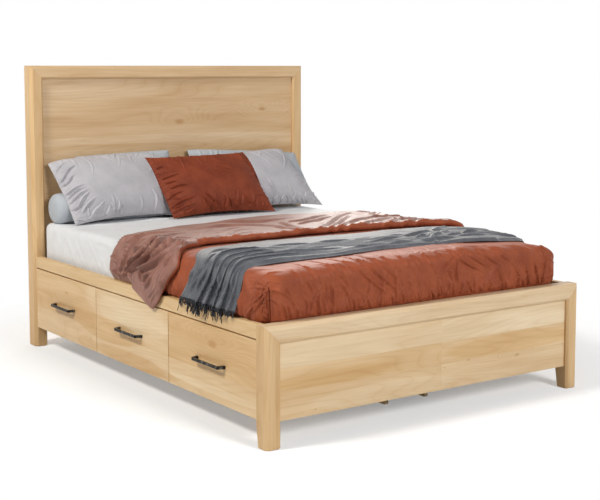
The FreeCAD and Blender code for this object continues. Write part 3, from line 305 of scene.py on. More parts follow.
# the first pattern that fits a node's name gives its material
FINISHES = [("*_drawer_box", box_ply), ("*_drawer_front", front_boards), ("*_drawer_handle", antique_pewter),
            ("*runners", zinc_plate), ("corner_brackets", zinc_plate), ("bracket_screws", zinc_plate),
            ("bed_bolts", zinc_plate), ("spine_glides", black_nylon), ("slats", planed_pine),
            ("partition*", carcass_board), ("spine*", box_ply), ("*cleat", box_ply),
            ("headboard_panel", head_boards), ("footboard_panel", foot_boards), ("*_post", lacquered_post),
            ("*side_rail", lacquered_side), ("*", lacquered_rail)]
for label, made in nodes.items():
    finish = next(material for pattern, material in FINISHES if fnmatchcase(label, pattern))
    made.data.materials.clear()
    made.data.materials.append(finish)

# Cloth


def cotton(name, tint, deep, sheen, sheen_tint="FFFFFF", rough=0.85, slub=0.25, thread=1.6, shine=0.25):
    """Washed woven cloth: crossed threads, faint slubs and soft mottling, on UVs in metres of cloth."""
    material, tree = new_material(name)
    flat = add(tree, "UVMap", uv_map="cloth")
    # patches about 110 mm across, and slubs about 2.4 mm thick and 40 mm long
    mottle = add(tree, "TexNoise", {"Vector": flat, "Scale": 9.0, "Detail": 4.0, "Roughness": 0.6})
    weft = add(tree, "Mapping", {"Vector": flat, "Scale": (25.0, 420.0, 1.0)})
    warp = add(tree, "Mapping", {"Vector": flat, "Scale": (420.0, 25.0, 1.0)})
    slubs = [add(tree, "TexNoise", {"Vector": way, "Scale": 1.0, "Detail": 1.5}) for way in (weft, warp)]
    both_ways = add(tree, "Math", {0: slubs[0], 1: slubs[1]}, operation="ADD")
    # a wave has 20 radians for each unit of its scale, so ridges stand 2 pi times thread apart, 8 to 20 mm:
    # far coarser than the cloth's own 0.4 mm threads, so that they show
    rows = [add(tree, "TexWave", {"Vector": flat, "Scale": 1 / (thread * MM) * 0.05, "Distortion": 0.6,
                                  "Detail": 1.0, "Detail Scale": 2.0}, bands_direction=way) for way in "XY"]
    weave = add(tree, "Math", {0: rows[0].outputs["Fac"], 1: rows[1].outputs["Fac"]}, operation="ADD")
    height = add(tree, "Math", {0: both_ways, 1: 0.8, 2: weave}, operation="MULTIPLY_ADD")
    amount = add(tree, "Math", {0: both_ways, 1: slub, 2: mottle}, operation="MULTIPLY_ADD")
    share = add(tree, "MapRange", {"Value": amount, "From Min": 0.35 + slub, "From Max": 0.75 + slub})
    colour = add(tree, "Mix", {0: share, 6: linear(deep), 7: linear(tint)}, data_type="RGBA")
    bump = add(tree, "Bump", {"Height": height, "Strength": 0.25, "Distance": 0.0006})
    shader = add(tree, "BsdfPrincipled", {"Base Color": colour, "Roughness": rough, "Sheen Weight": sheen,
                                          "Sheen Roughness": 0.35, "Sheen Tint": linear(sheen_tint),
                                          "Normal": bump})
    shader.inputs["Specular IOR Level"].default_value = shine
    add(tree, "OutputMaterial", {"Surface": shader})
    return material


# sateen is smooth: the washed face is mottled with a low warm sheen, the reverse browner and a little glossy
rust_cotton = cotton("washed_rust_sateen", "A25434", "874126", 0.14, "FFDCCB", rough=0.6)
reverse_cotton = cotton("reverse_of_rust_sateen", "976B5C", "7E5245", 0.28, "F6EFEA", rough=0.55, shine=0.45)
# plain washed cotton on the cushion, darker than the duvet
cushion_cotton = cotton("washed_rust_cushion_cotton", "8C4228", "70301C", 0.1, "FFC8AC", rough=0.6, shine=0.2)
# percale is the finest and flattest cloth here, a nearly even white
white_percale = cotton("white_percale", "E4E5E6", "DADBDD", 0.05, thread=1.2, slub=0.1)
# washed cotton pillowcases, matt: warm grey in front, cooler and darker behind and on the bolster
grey_cotton = cotton("washed_grey_cotton", "BFBDC1", "AFADB1", 0.12)
pale_grey_cotton = cotton("pale_blue_grey_cotton", "B6BBC0", "A9AEB4", 0.12)
# thick slubby yarn, loosely woven, with a pale fuzz at grazing angles; in the fringe the bare yarn has less
# sheen, and its darker colour is painted shade from among the hanging strands
charcoal_weave = cotton("loose_charcoal_weave", "606369", "3F4249", 0.55, "F4F0EA", rough=0.6, slub=0.6,
                        thread=3.2, shine=0.5)
fringe_yarn_painted_shade = cotton("charcoal_fringe_with_painted_shade", "3C3E44", "2C2D31", 0.2, "F4F0EA", rough=0.8)
# off-white ticking, matt and even, which only shows where the sheet ends
ticking = cotton("quilted_ticking", "E4E2DC", "D6D4CE", 0.05)


def build_mesh(name, points, quads, flat=None):
    """A mesh object in metres from points in mm and four-sided faces, with flat cloth coordinates as UVs."""
    mesh = bpy.data.meshes.new(name)
    mesh.vertices.add(len(points))
    mesh.vertices.foreach_set("co", (np.asarray(points, float) * MM).astype(np.float32).ravel())
    quads = np.asarray(quads, np.int32)
    mesh.loops.add(quads.size)
    mesh.loops.foreach_set("vertex_index", quads.ravel())
    mesh.polygons.add(len(quads))
    mesh.polygons.foreach_set("loop_start", np.arange(0, quads.size, 4, dtype=np.int32))
    mesh.update(calc_edges=True)
    mesh.validate()
    mesh.polygons.foreach_set("use_smooth", np.ones(len(mesh.polygons), bool))
    if flat is not None:
        layer = mesh.uv_layers.new(name="cloth")
        corner = np.zeros(len(mesh.loops), np.int32)
        mesh.loops.foreach_get("vertex_index", corner)
        layer.data.foreach_set("uv", (np.asarray(flat, float) * MM)[corner].astype(np.float32).ravel())
    made = bpy.data.objects.new(name, mesh)
    scene.collection.objects.link(made)
    return made


def grid_quads(rows, columns, first=0):
    """Four-sided faces between the numbered points of a grid."""
    index = np.arange(rows * columns).reshape(rows, columns) + first
    return np.stack([index[:-1, :-1], index[1:, :-1], index[1:, 1:], index[:-1, 1:]], -1).reshape(-1, 4)


def normals_of(points):
    """Outward normals of a grid of points."""
    across = np.cross(np.gradient(points, axis=0), np.gradient(points, axis=1))
    return across / np.maximum(np.linalg.norm(across, axis=2, keepdims=True), 1e-9)


def skin(name, points, flat, thick):
    """A closed sheet: a grid of points with a second layer inside it, joined round the rim."""
    rows, columns = points.shape[:2]
    inner = points - normals_of(points) * thick
    count = rows * columns
    outer_index = np.arange(count).reshape(rows, columns)
    loop = np.concatenate([outer_index[:-1, 0], outer_index[-1, :-1], outer_index[:0:-1, -1],
                           outer_index[0, :0:-1]])
    after = np.roll(loop, -1)
    rim = np.stack([after, loop, loop + count, after + count], -1)
    quads = np.concatenate([grid_quads(rows, columns), grid_quads(rows, columns, count)[:, ::-1], rim])
    every = np.concatenate([points.reshape(-1, 3), inner.reshape(-1, 3)])
    uv = np.concatenate([flat.reshape(-1, 2)] * 2)
    return build_mesh(name, every, quads, uv)


def rounded_line(points, times=3):
    """An outline with its corners cut off a few times, as a smooth line."""
    line = np.asarray(points, float)
    for _ in range(times):
        near, far = line[:-1] * 0.75 + line[1:] * 0.25, line[:-1] * 0.25 + line[1:] * 0.75
        line = np.concatenate([line[:1], np.stack([near, far], 1).reshape(-1, line.shape[1]), line[-1:]])
    return line


def distances(line):
    """How far along a line each of its points is."""
    return np.concatenate([[0], np.cumsum(np.linalg.norm(np.diff(line, axis=0), axis=1))])


def on_one_seam(rows, columns):
    """For two grids that share their rim: the points on it, the second grid's numbers, and all faces."""
    total = rows * columns
    index = np.arange(total).reshape(rows, columns)
    rim = np.ones((rows, columns), bool)
    rim[1:-1, 1:-1] = False
    second = np.where(rim, index, index + total).ravel()
    quads = grid_quads(rows, columns)
    return rim, second, np.concatenate([quads, second[quads][:, ::-1]])


class Profile:
    """A side of the bedding in section: how far out and down it is at each share of its length."""

    def __init__(self, points):
        line = rounded_line(points)
        steps = distances(line)
        self.length, self.share, self.line = steps[-1], steps / steps[-1], line

    def at(self, share):
        return np.interp(share, self.share, self.line[:, 0]), np.interp(share, self.share, self.line[:, 1])


# sections from the shoulders outwards and down, in mm: the duvet's side and foot, the throw, and the sheet
SIDE = Profile([(0, 0), (28, -3), (48, -11), (62, -25), (70, -42), (76, -66), (82, -92), (87, -114),
                (88, -136), (84, -157), (78, -173), (72.5, -183), (72, -197)])
FOOT = Profile([(0, 0), (28, -3), (50, -9), (66, -20), (74, -35), (76, -55), (76, -95), (76, -135),
                (75, -163), (72, -176), (66, -180), (64.3, -184), (64.3, -197)])
HANG = Profile([(0, 0), (28, -3), (50, -11), (65, -26), (75, -46), (83, -73), (91, -106), (100, -140),
                (109, -168), (113, -190), (114, -215), (114, -260)])
SHEET_SIDE = Profile([(0, 0), (10, -1), (19, -4.5), (27, -13), (31, -22), (32.3, -34), (32.3, -80),
                      (32.3, -150), (32.3, -219)])
# where the duvet's side and foot shoulders start, its top, and how far its middle rises
X0, Y0, TOP, CROWN = 712.0, -965.0, 645.6, 10.0


def drape(u, w, side, foot, x0, y0, top, crown, y1=1e9):
    """Where flat cloth coordinates, u across and w along, lie over a block with rounded shoulders.

    The block's top ends at x0 to the sides and at y0 and y1 along the bed, and rises by crown in its middle.
    side and foot are the cloth's sections past those ends.
    """
    p = np.maximum(np.abs(u) - x0, 0) / side.length
    other = np.maximum(w - y1, 0) / foot.length
    q = np.maximum(y0 - w, 0) / foot.length + other
    t = np.minimum((p ** 8 + q ** 8) ** 0.125, 1)
    angle = np.arctan2(q, p)
    turn = angle / (math.pi / 2)
    side_out, side_down = side.at(t)
    foot_out, foot_down = foot.at(t)
    out = side_out * (1 - turn) + foot_out * turn
    down = side_down * (1 - turn) + foot_down * turn
    x = np.sign(u) * (np.minimum(np.abs(u), x0) + out * np.cos(angle) * (p > 0))
    y = np.clip(w, y0, y1) - np.where(other > 0, -1, 1) * out * np.sin(angle)
    z = top + crown * (1 - (np.minimum(np.abs(u), x0) / x0) ** 2) * (1 - t) ** 0.5 + down
    return np.stack([x, y, z], -1)


def over_duvet(u, w, lift=0.0, side=SIDE, x0=X0):
    """Points that stand off the duvet's outside by a height, from flat cloth coordinates."""
    def at(a, b):
        return drape(a, b, side, FOOT, x0, Y0, TOP, CROWN)

    step = 1.5
    normal = np.cross(at(u + step, w) - at(u - step, w), at(u, w + step) - at(u, w - step))
    normal /= np.maximum(np.linalg.norm(normal, axis=-1, keepdims=True), 1e-6)
    return at(u, w) + normal * np.asarray(lift)[..., None]


def slump(points, u, w):
    """Rounds the bedding off at the far foot corner, where it is drawn in and sinks."""
    share = np.clip((u - 480) / 330, 0, 1) ** 1.5 * np.clip((-640 - w) / 360, 0, 1)
    high = np.clip((points[..., 2] - 470) / 175, 0, 1)
    points[..., 0] -= 27 * share
    points[..., 2] -= 32 * share * high
    return points


def creases(u, w, strokes, wide=1.0, tall=1.0):
    """Height that crease lines add at flat coordinates: each is a line, a width, a height and its shares."""
    raised, sunk = np.zeros(u.size), np.zeros(u.size)
    pu, pw = u.ravel(), w.ravel()
    for line, width, height, start, end in strokes:
        line, width, height = rounded_line(line, 2), width * wide, height * tall
        reach = 3 * width
        near = np.where((pu > line[:, 0].min() - reach) & (pu < line[:, 0].max() + reach)
                        & (pw > line[:, 1].min() - reach) & (pw < line[:, 1].max() + reach))[0]
        if not len(near):
            continue
        best, where, run = np.full(len(near), 1e9), np.zeros(len(near)), 0.0
        lengths = np.maximum(np.linalg.norm(np.diff(line, axis=0), axis=1), 1e-6)
        for a, b, length in zip(line, line[1:], lengths):
            du, dw = pu[near] - a[0], pw[near] - a[1]
            t = np.clip((du * (b[0] - a[0]) + dw * (b[1] - a[1])) / length ** 2, 0, 1)
            gap = np.hypot(du - t * (b[0] - a[0]), dw - t * (b[1] - a[1]))
            closer = gap < best
            best[closer] = gap[closer]
            where[closer] = ((run + t * length) / lengths.sum())[closer]
            run += length
        fade = np.interp(where, [0, 0.35, 0.6, 1], [start, 1, 0.9, end])
        g = best / width
        crest = 1.3 * np.exp(-g * g) + 0.7 * np.exp(-(g / 0.5) ** 2) - 0.75 * np.exp(-(g / 2.0) ** 2)
        raised[near] = np.maximum(raised[near], height * fade * crest)
        sunk[near] = np.minimum(sunk[near], height * fade * crest)
    return (raised + sunk).reshape(u.shape)


def crumples(u, w, angle, gap, run, seed, thin=0.42):
    """Meandering sharp crests, 0 to 1, that run at an angle in degrees and stand about a gap apart."""
    a = math.radians(angle)
    along, across = u * math.cos(a) + w * math.sin(a), w * math.cos(a) - u * math.sin(a)
    across = across + rumple(along, across, run * 0.9, gap * 4, seed + 1) * gap * 0.9
    wave = rumple(across, along, gap, run, seed)
    patchy = np.clip(rumple(u, w, gap * 5, gap * 4, seed + 2) * 1.4 + 0.55, 0, 1)
    return np.clip(1 - np.abs(wave) / thin, 0, 1) ** 1.4 * patchy


def puckers(line, spacing, length, width, height, turn, seed, spread=16):
    """Short creases that start on a line and run off it, as where cloth is gathered."""
    chance = np.random.default_rng(seed)
    line = rounded_line(line, 2)
    steps = distances(line)
    made, s = [], spacing * chance.uniform(0.2, 1)
    while s < steps[-1]:
        back, here, ahead = (np.array([np.interp(at, steps, line[:, k]) for k in (0, 1)])
                             for at in (s - 2, s, s + 2))
        angle = math.atan2(*(ahead - back)[::-1]) + math.radians(turn + chance.normal(0, spread))
        run = length * chance.uniform(0.5, 1.4)
        way = np.array([math.cos(angle), math.sin(angle)])
        side = np.array([-way[1], way[0]]) * run * chance.normal(0, 0.12)
        bent = [here, here + way * run * 0.5 + side, here + way * run]
        made.append((bent, width * chance.uniform(0.7, 1.3), height * chance.uniform(0.4, 1.2), 1.0, 0.0))
        s += spacing * chance.uniform(0.55, 1.45)
    return made


def rumple(u, w, cell_u, cell_w, seed):
    """Smooth random height between -1 and 1 on cells of the given size."""
    chance = np.random.default_rng(seed)
    size = 64
    table = chance.uniform(-1, 1, (size, size))
    a, b = u / cell_u + 31.7, w / cell_w + 17.3
    i, j = np.floor(a).astype(int), np.floor(b).astype(int)
    s, t = a - i, b - j
    s, t = s * s * (3 - 2 * s), t * t * (3 - 2 * t)
    i0, i1, j0, j1 = i % size, (i + 1) % size, j % size, (j + 1) % size
    near = table[i0, j0] * (1 - s) + table[i1, j0] * s
    return near * (1 - t) + (table[i0, j1] * (1 - s) + table[i1, j1] * s) * t


def net_of(points, quads):
    """A surface in metres that rays can be cast at."""
    return BVHTree.FromPolygons([tuple(p) for p in (points.reshape(-1, 3) * MM).tolist()], quads.tolist())


def traced(points, flat, strokes):
    """Lays picture strokes on a grid surface, as crease lines in its flat coordinates.

    A stroke is its width and height in mm, the share of its height at its start and end, and then the x and y
    of each picture point on it.
    """
    rows, columns = points.shape[:2]
    quads = grid_quads(rows, columns)
    net = net_of(points, quads)
    uv = flat.reshape(-1, 2)
    made = []
    for width, height, start, end, *line in strokes:
        spots = []
        for px, py in zip(line[::2], line[1::2]):
            hit = net.ray_cast(EYE, sight(px, py))
            if hit[0] is not None:
                spots.append(uv[quads[hit[2]]].mean(0))
        if len(spots) > 1:
            made.append((spots, width, height, start, end))
    return made


def keep_off_frame(points, top=464.8, inner=784.6, outer=815.5, foot=-1029.4, foot_top=465.8):
    """Lets bedding rest on the side rails and the footboard instead of passing through them.

    top, inner and outer are the rails' top and faces; foot and foot_top the footboard's inner face and top.
    """
    x, y, z = points[..., 0], points[..., 1], points[..., 2]
    low = z < top
    on_rail = low & (np.abs(x) > inner) & (np.abs(x) < outer)
    beside = on_rail & (np.abs(x) > (inner + outer) / 2) & (z < top - 8)
    x[beside] = np.sign(x[beside]) * outer
    z[on_rail & ~beside] = top
    on_foot = (y < foot) & (z < foot_top)
    z[on_foot] = foot_top
    return points


def piece(made, material, *replaced, slot):
    """Gives a piece its material, lets it ride the bed, and hides the nodes that it stands for; slot is not
    used.
    """
    made.data.materials.clear()
    made.data.materials.append(material)
    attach(made, "root")
    if replaced:
        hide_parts(*replaced)
    return made


# Fitted sheet and mattress

# where the sheet's shoulders start, its top and the spacing of its points
SHEET_X, SHEET_LOW, SHEET_HIGH, SHEET_TOP = 735.0, -983.0, 987.0, 630.6
SHEET_STEP = 10.0
# strokes for traced: the sheet's pulls down its left side and in front of the pillows
SHEET_PULLS = [
    (11.2, 4.8, 0.2, 0.4, 58, 236, 61, 248, 62, 258),
    (11.2, 6.4, 0.2, 0.6, 66, 238, 72, 251, 75, 261),
    (11.2, 6.4, 0.2, 0.6, 75, 240, 80, 255, 85, 266),
    (12, 5.6, 0.2, 0.6, 90, 243, 96, 258, 99, 268),
    (9.6, 7.2, 0.3, 0.8, 98, 255, 103, 264, 107, 273),
    (9.6, 5.6, 0.3, 0.5, 95, 240, 103, 243, 111, 246),
    (17.6, 4.8, 0, 0, 130, 222, 160, 219, 190, 217),
    (16, 4.8, 0, 0, 80, 226, 100, 225, 125, 223),
]


def over_mattress(u, w):
    """Where flat cloth coordinates lie on the mattress."""
    return drape(u, w, SHEET_SIDE, SHEET_SIDE, SHEET_X, SHEET_LOW, SHEET_TOP, 0.0, SHEET_HIGH)


span = SHEET_X + SHEET_SIDE.length
sheet_w = np.arange(SHEET_LOW - SHEET_SIDE.length, SHEET_HIGH + SHEET_SIDE.length + 1, SHEET_STEP)
flat_u, flat_w = np.meshgrid(np.arange(-span, span + 1, SHEET_STEP), sheet_w, indexing="ij")
base = over_mattress(flat_u, flat_w)
flat = np.stack([flat_u, flat_w], -1)
pulls = traced(base, flat, SHEET_PULLS)
low_edge = SHEET_X + 165
gathers = []
for number, line in enumerate([[(-low_edge, -900), (-low_edge, 1000)], [(low_edge, 1000), (low_edge, -900)]]):
    gathers += puckers(line, 38, 70, 9, 2.2, -90, 30 + number)
lift = creases(flat_u, flat_w, pulls + gathers) + rumple(flat_u, flat_w, 160, 90, 5) * 0.8
lift *= np.clip((span - np.abs(flat_u)) / 60, 0, 1)
points = base + normals_of(base) * np.clip(lift, -1.8, 7.5)[..., None]
points = slump(points, flat_u, flat_w)
sheet = piece(skin("fitted_sheet_cloth", points, flat, 1.0), white_percale, "fitted_sheet",
              slot="white_sheet")

mattress_low, mattress_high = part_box("mattress")
low, high = np.array(mattress_low) / MM, np.array(mattress_high) / MM


def rounded_block(name, low, high, radius, step, swell):
    """A closed padded block with rounded edges, whose faces swell out or sink in by a little."""
    half, middle = (high - low) / 2, (high + low) / 2
    faces, count, every, uvs = [], 0, [], []
    for axis in range(3):
        for sign in (-1, 1):
            a, b = [(1, 2), (2, 0), (0, 1)][axis]
            na, nb = (max(int(2 * half[k] / step), 8) for k in (a, b))
            ga, gb = np.meshgrid(np.linspace(-1, 1, na + 1), np.linspace(-1, 1, nb + 1), indexing="ij")
            cube = np.zeros(ga.shape + (3,))
            cube[..., a], cube[..., b], cube[..., axis] = ga * half[a], gb * half[b], sign * half[axis]
            core = np.clip(cube, -(half - radius), half - radius)
            away = cube - core
            away /= np.maximum(np.linalg.norm(away, axis=-1, keepdims=True), 1e-9)
            spots = core + away * radius
            spots[..., axis] += sign * swell * (1 - ga ** 2) * (1 - gb ** 2)
            quads = grid_quads(na + 1, nb + 1, count)
            faces.append(quads if sign > 0 else quads[:, ::-1])
            spots = spots + middle
            every.append(slump(spots, spots[..., 0], spots[..., 1]).reshape(-1, 3))
            uvs.append(np.stack([ga * half[a], gb * half[b]], -1).reshape(-1, 2))
            count += ga.size
    return build_mesh(name, np.concatenate(every), np.concatenate(faces), np.concatenate(uvs))


block = rounded_block("mattress_block", low, high, radius=29.0, step=30.0, swell=-0.5)
mattress = piece(block, ticking, "mattress", slot="mattress_ticking")

# Duvet

# the turned back layer's two edges, across the bed
HEM = [(-1000, -205), (-955, -243), (-925, -292), (-884, -325), (-850, -352), (-812, -392), (-790, -410),
       (-765, -392), (-740, -352), (-700, -316), (-640, -288), (-560, -276), (-440, -296), (-300, -304),
       (-160, -296), (0, -305), (112, -318), (300, -322), (454, -316), (600, -345), (700, -380),
       (780, -395), (1000, -400)]
CREASE = [(-1000, 196), (-900, 210), (-850, 214), (-800, 210), (-745, 202), (-640, 200), (-540, 216),
          (-400, 238), (-236, 258), (-125, 292), (60, 298), (181, 318), (300, 296), (430, 292), (535, 306),
          (620, 292), (700, 256), (760, 236), (1000, 222)]
# the throw's two long edges
THROW_HEAD = [(-1010, -440), (-960, -452), (-900, -470), (-850, -495), (-800, -520), (-770, -500),
              (-730, -430), (-660, -352), (-579, -332), (-450, -326), (-295, -329), (-100, -352),
              (75, -372), (300, -372), (452, -372), (600, -392), (680, -450), (740, -540), (800, -590),
              (1000, -600)]
THROW_FOOT = [(-1010, -868), (-900, -876), (-830, -884), (-780, -876), (-725, -848), (-629, -834),
              (-471, -836), (-287, -848), (-111, -822), (32, -826), (214, -848), (461, -852), (600, -868),
              (720, -850), (800, -820), (1000, -815)]
COVER_DRAGS = [
    # long drags from the top edge down the foot
    (13, 8, 0, 0.3, 286, 262, 301, 266, 314, 273, 322, 283),
    (12, 9, 0, 0.3, 300, 258, 318, 263, 336, 272, 350, 284),
    (12, 12, 0, 0.3, 318, 255, 338, 261, 356, 269, 372, 281, 384, 291),
    (11, 12, 0, 0.4, 333, 253, 352, 259, 368, 267, 384, 279, 394, 287),
    (11, 12, 0, 0.3, 348, 252, 366, 258, 381, 266, 396, 277),
    (9, 10, 0, 0.3, 366, 252, 381, 257, 391, 264, 401, 271),
    (9, 9, 0, 0.3, 384, 250, 396, 256, 408, 266),
    (9, 9, 0, 0.2, 396, 249, 409, 256, 421, 267),
    (10, 9, 0, 0.2, 410, 248, 424, 258, 437, 272),
    (9, 8, 0, 0.2, 424, 247, 437, 255, 447, 265),
    (11, 7, 0.2, 0.6, 341, 281, 346, 289, 349, 298),
    (12, 7, 0.2, 0.4, 326, 281, 328, 290, 327, 302),
    # the pinch right of the middle
    (9, 10, 0.1, 1, 440, 248, 450, 252, 458, 258),
    (8, 8, 0.1, 1, 447, 245, 456, 250, 462, 256),
    (9, 10, 1, 0.1, 458, 258, 470, 266, 484, 272),
    (9, 9, 1, 0.1, 458, 258, 456, 271, 459, 286),
    (9, 8, 1, 0.1, 456, 259, 446, 268, 436, 280),
    (9, 9, 0.6, 0.1, 462, 254, 479, 262, 493, 270),
    (9, 9, 0.3, 0.1, 474, 250, 487, 258, 501, 265),
    (9, 8, 0.3, 0.1, 487, 247, 498, 254, 511, 262),
    # gathers towards the far corner
    (9, 11.2, 0.1, 0.8, 498, 268, 501, 277, 503, 289),
    (8, 14, 0.1, 1, 516, 266, 518, 276, 519, 286),
    (8, 14, 0.1, 1, 526, 262, 528, 274, 529, 284),
    (8, 15.4, 0.1, 1, 536, 258, 537, 270, 539, 282),
    (8, 15.4, 0.4, 1, 549, 256, 546, 266, 543, 280),
    (8, 9.8, 0.2, 0.8, 538, 243, 546, 249, 549, 258),
    # the pleat at the near corner and the folds that run into it
    (7, -13, 0.6, 1, 269, 288, 269.5, 299, 270, 309, 270.5, 321),
    (8, 7, 0.4, 0.8, 264.5, 293, 265, 303, 265.5, 318),
    (9, 6, 0.6, 0.2, 267, 291, 259, 298, 250, 305, 243, 309),
    (9, 6, 0.7, 0.3, 266, 295, 260, 304, 253, 314),
    (9, 6, 0.6, 0.1, 266, 289, 256, 287, 246, 289, 239, 294),
    (9, 5, 0.6, 0.1, 266, 286, 256, 281, 246, 280, 240, 283),
    (9, 4, 0.6, 0, 264, 283, 255, 277, 248, 275),
    (10, 6, 0.6, 0.1, 273, 290, 283, 293, 292, 301, 298, 312),
    (9, 5, 0.2, 0.2, 284, 285, 289, 292, 292, 301),
    (9, 5, 0.2, 0.2, 307, 281, 312, 288, 314, 296),
    # the strip between the turned back hem and the throw
    (9, 8, 0.3, 0.9, 176, 272, 172, 285, 170, 298),
    (10, 8, 0.3, 0.9, 186, 262, 181, 277, 178, 292),
]


def edge_at(table, u):
    """Where an edge is along the bed at places across it."""
    line = rounded_line(table, 2)
    return np.interp(u, line[:, 0], line[:, 1])


def soft_limit(height, low, high):
    """Bends heights over smoothly as they near a lowest or highest value."""
    return np.where(height > 0, high * np.tanh(height / high), low * np.tanh(height / low))


reach = X0 + SIDE.length
row_w = np.concatenate([np.arange(Y0 - FOOT.length, Y0 + 70, 3.1), np.arange(Y0 + 70, -150, 6.0)])
flat_u, flat_w = np.meshgrid(np.arange(-reach, reach + 0.1, 4.0), row_w, indexing="ij")
base = over_duvet(flat_u, flat_w)
flat = np.stack([flat_u, flat_w], -1)
drags = traced(base, flat, COVER_DRAGS)
foot_line = [(-700, Y0 - FOOT.length * 0.86), (700, Y0 - FOOT.length * 0.86)]
side_lines = [[(side * (X0 + SIDE.length * 0.88), a), (side * (X0 + SIDE.length * 0.88), b)]
              for side, a, b in ((-1, -960, -300), (1, -300, -960))]
tucks = puckers(foot_line, 30, 52, 8, 10.0, 90, 11) + puckers(foot_line, 75, 100, 14, 10.0, 80, 12)
for number, line in enumerate(side_lines):
    tucks += puckers(line, 38, 70, 9, 9.0, -90, 13 + number)
    tucks += puckers(line, 100, 120, 15, 9.0, -90, 15 + number)
tucks += puckers([(X0 + 90, -300), (X0 + 90, -930)], 70, 110, 14, 6.0, -80, 19, 25)
face_share = np.clip((Y0 + 70 - flat_w) / 60, 0, 1) * np.clip((flat_w - Y0 + FOOT.length - 30) / 70, 0, 1)
side_share = np.clip((np.abs(flat_u) - X0 + 50) / 60, 0, 1)
over_edge = np.clip((Y0 + 30 - flat_w) / 70, 0.3, 1)
# drags and tucks, sharp crests along the foot's edge, down its face, on the sides and over all, and swells
lift = creases(flat_u, flat_w, drags, 0.6, 1.15) * over_edge + creases(flat_u, flat_w, tucks, 0.85, 1.0)
slant = flat_w + 0.45 * flat_u
near_foot = np.clip((Y0 + 40 - flat_w) / 60, 0, 1) * (flat_u > -640)
lift += crumples(flat_u, slant, -62, 14, 170, 3) * 5.0 * near_foot
lift += crumples(flat_u, flat_w, -50, 22, 80, 5) * 3.0 * face_share
lift += crumples(flat_u, flat_w, -12, 34, 130, 6) * 6.0 * side_share
lift += crumples(flat_u, flat_w, -35, 38, 200, 7) * 1.2
lift += rumple(flat_u, flat_w, 210, 150, 1) * 5.0 + rumple(flat_u, flat_w, 75, 60, 2) * 1.3
# it lies flat where it is tucked in, and is pressed down under the throw
bottom = np.minimum((reach - np.abs(flat_u)) / 26, (flat_w - (Y0 - FOOT.length)) / 26)
lift = soft_limit(lift, -16, 24) * np.clip(bottom, 0, 1)
under_throw = np.minimum(edge_at(THROW_HEAD, flat_u) - flat_w, flat_w - edge_at(THROW_FOOT, flat_u))
lift = np.minimum(lift, np.interp(under_throw, [0, 40], [24, 0]))
cover = keep_off_frame(slump(over_duvet(flat_u, flat_w, lift), flat_u, flat_w))
duvet = piece(skin("duvet_cover", cover, flat, 7.0), rust_cotton, "duvet", slot="rust_cotton")

# the head end folded back, its paler reverse outwards: a puffed layer with a rolled crease, a crumpled hem
# and a free corner that hangs over the left rail to a point
CORNER = Profile([(0, 0), (28, -3), (48, -11), (62, -25), (70, -42), (76, -66), (83, -90), (90, -114),
                  (97, -138), (103, -160), (107, -177), (110, -190), (111, -210), (111, -246)])
# round the hem's roll and round the crease: how far in from its edge and how high, in mm
hem_run = [(22, 0.5), (9, 1.0), (1, 5.0), (-3, 12.0), (-2, 19.0), (4, 25.5), (13, 29.5), (24, 31.0)]
crease_run = [(26, 20.0), (17, 18.5), (9, 14.5), (3, 8.0), (0, 0.0), (1, -8.0), (5, -15.0), (12, -20.5),
              (22, -23.5), (36, -24.3)]
column_u = np.concatenate([np.arange(-reach, -560, 2.9), np.arange(-560, 590, 7.6),
                           np.arange(590, reach + 2, 6.4)])
inside = np.linspace(0, 1, 136)[1:-1]
hem_w, crease_w = edge_at(HEM, column_u), edge_at(CREASE, column_u)
uneven = rumple(column_u, column_u * 0, 62, 50, 21) * 7 + rumple(column_u, column_u * 0, 27, 50, 22) * 1.6
hem_w = hem_w + uneven * np.where(column_u > -740, 1.0, 0.3)
crease_w = crease_w + rumple(column_u, column_u * 0, 130, 50, 23) * 7
along = [hem_w[:, None] + np.array([a for a, _ in hem_run])]
along.append((hem_w + 24)[:, None] + inside * (crease_w - hem_w - 50)[:, None])
along.append(crease_w[:, None] - np.array([a for a, _ in crease_run]))
flat_w = np.concatenate(along, 1)
flat_u = np.repeat(column_u[:, None], flat_w.shape[1], 1)
stand = np.concatenate([[h for _, h in hem_run], np.full(len(inside), 20.0), [h for _, h in crease_run]])
stand = np.repeat(stand[None], len(column_u), 0)
middle = slice(len(hem_run), len(hem_run) + len(inside))
# the layer puffs up by 11 mm behind the hem
stand[:, middle] += 11 * np.exp(-((flat_w - hem_w[:, None] - 24)[:, middle] / 62) ** 2)
flat = np.stack([flat_u, flat_w], -1)
down_side = np.maximum(np.abs(flat_u) - X0, 0) / SIDE.length
# 1 where the left corner hangs free; its side is drawn up towards the head, so that it ends in a point
loose = np.where(flat_u < 0, np.clip((12 - flat_w) / 62, 0, 1), 0)
loose = loose * loose * (3 - 2 * loose)
cut = np.interp(flat_w, [-225, -30], [1.0, 0.775])
corner_u = np.where(flat_u < -X0, -(X0 + down_side * cut * CORNER.length), flat_u)
# beyond the cover's end the layer is soft at its shoulders, where only the sheet is under it
SOFT = Profile([(0, 0), (45, -3), (84, -12), (114, -30), (135, -54), (148, -84), (155, -114), (158, -140),
                (156, -165), (151, -183), (149, -197)])
SOFT_X0 = 635.0
soft_u = np.sign(flat_u) * np.where(np.abs(flat_u) > SOFT_X0, SOFT_X0 + (np.abs(flat_u) - SOFT_X0)
                                    * SOFT.length / (reach - SOFT_X0), np.abs(flat_u))
soft_share = np.clip((flat_w + 175) / 150, 0, 1)[..., None]
soft_share = soft_share * soft_share * (3 - 2 * soft_share)


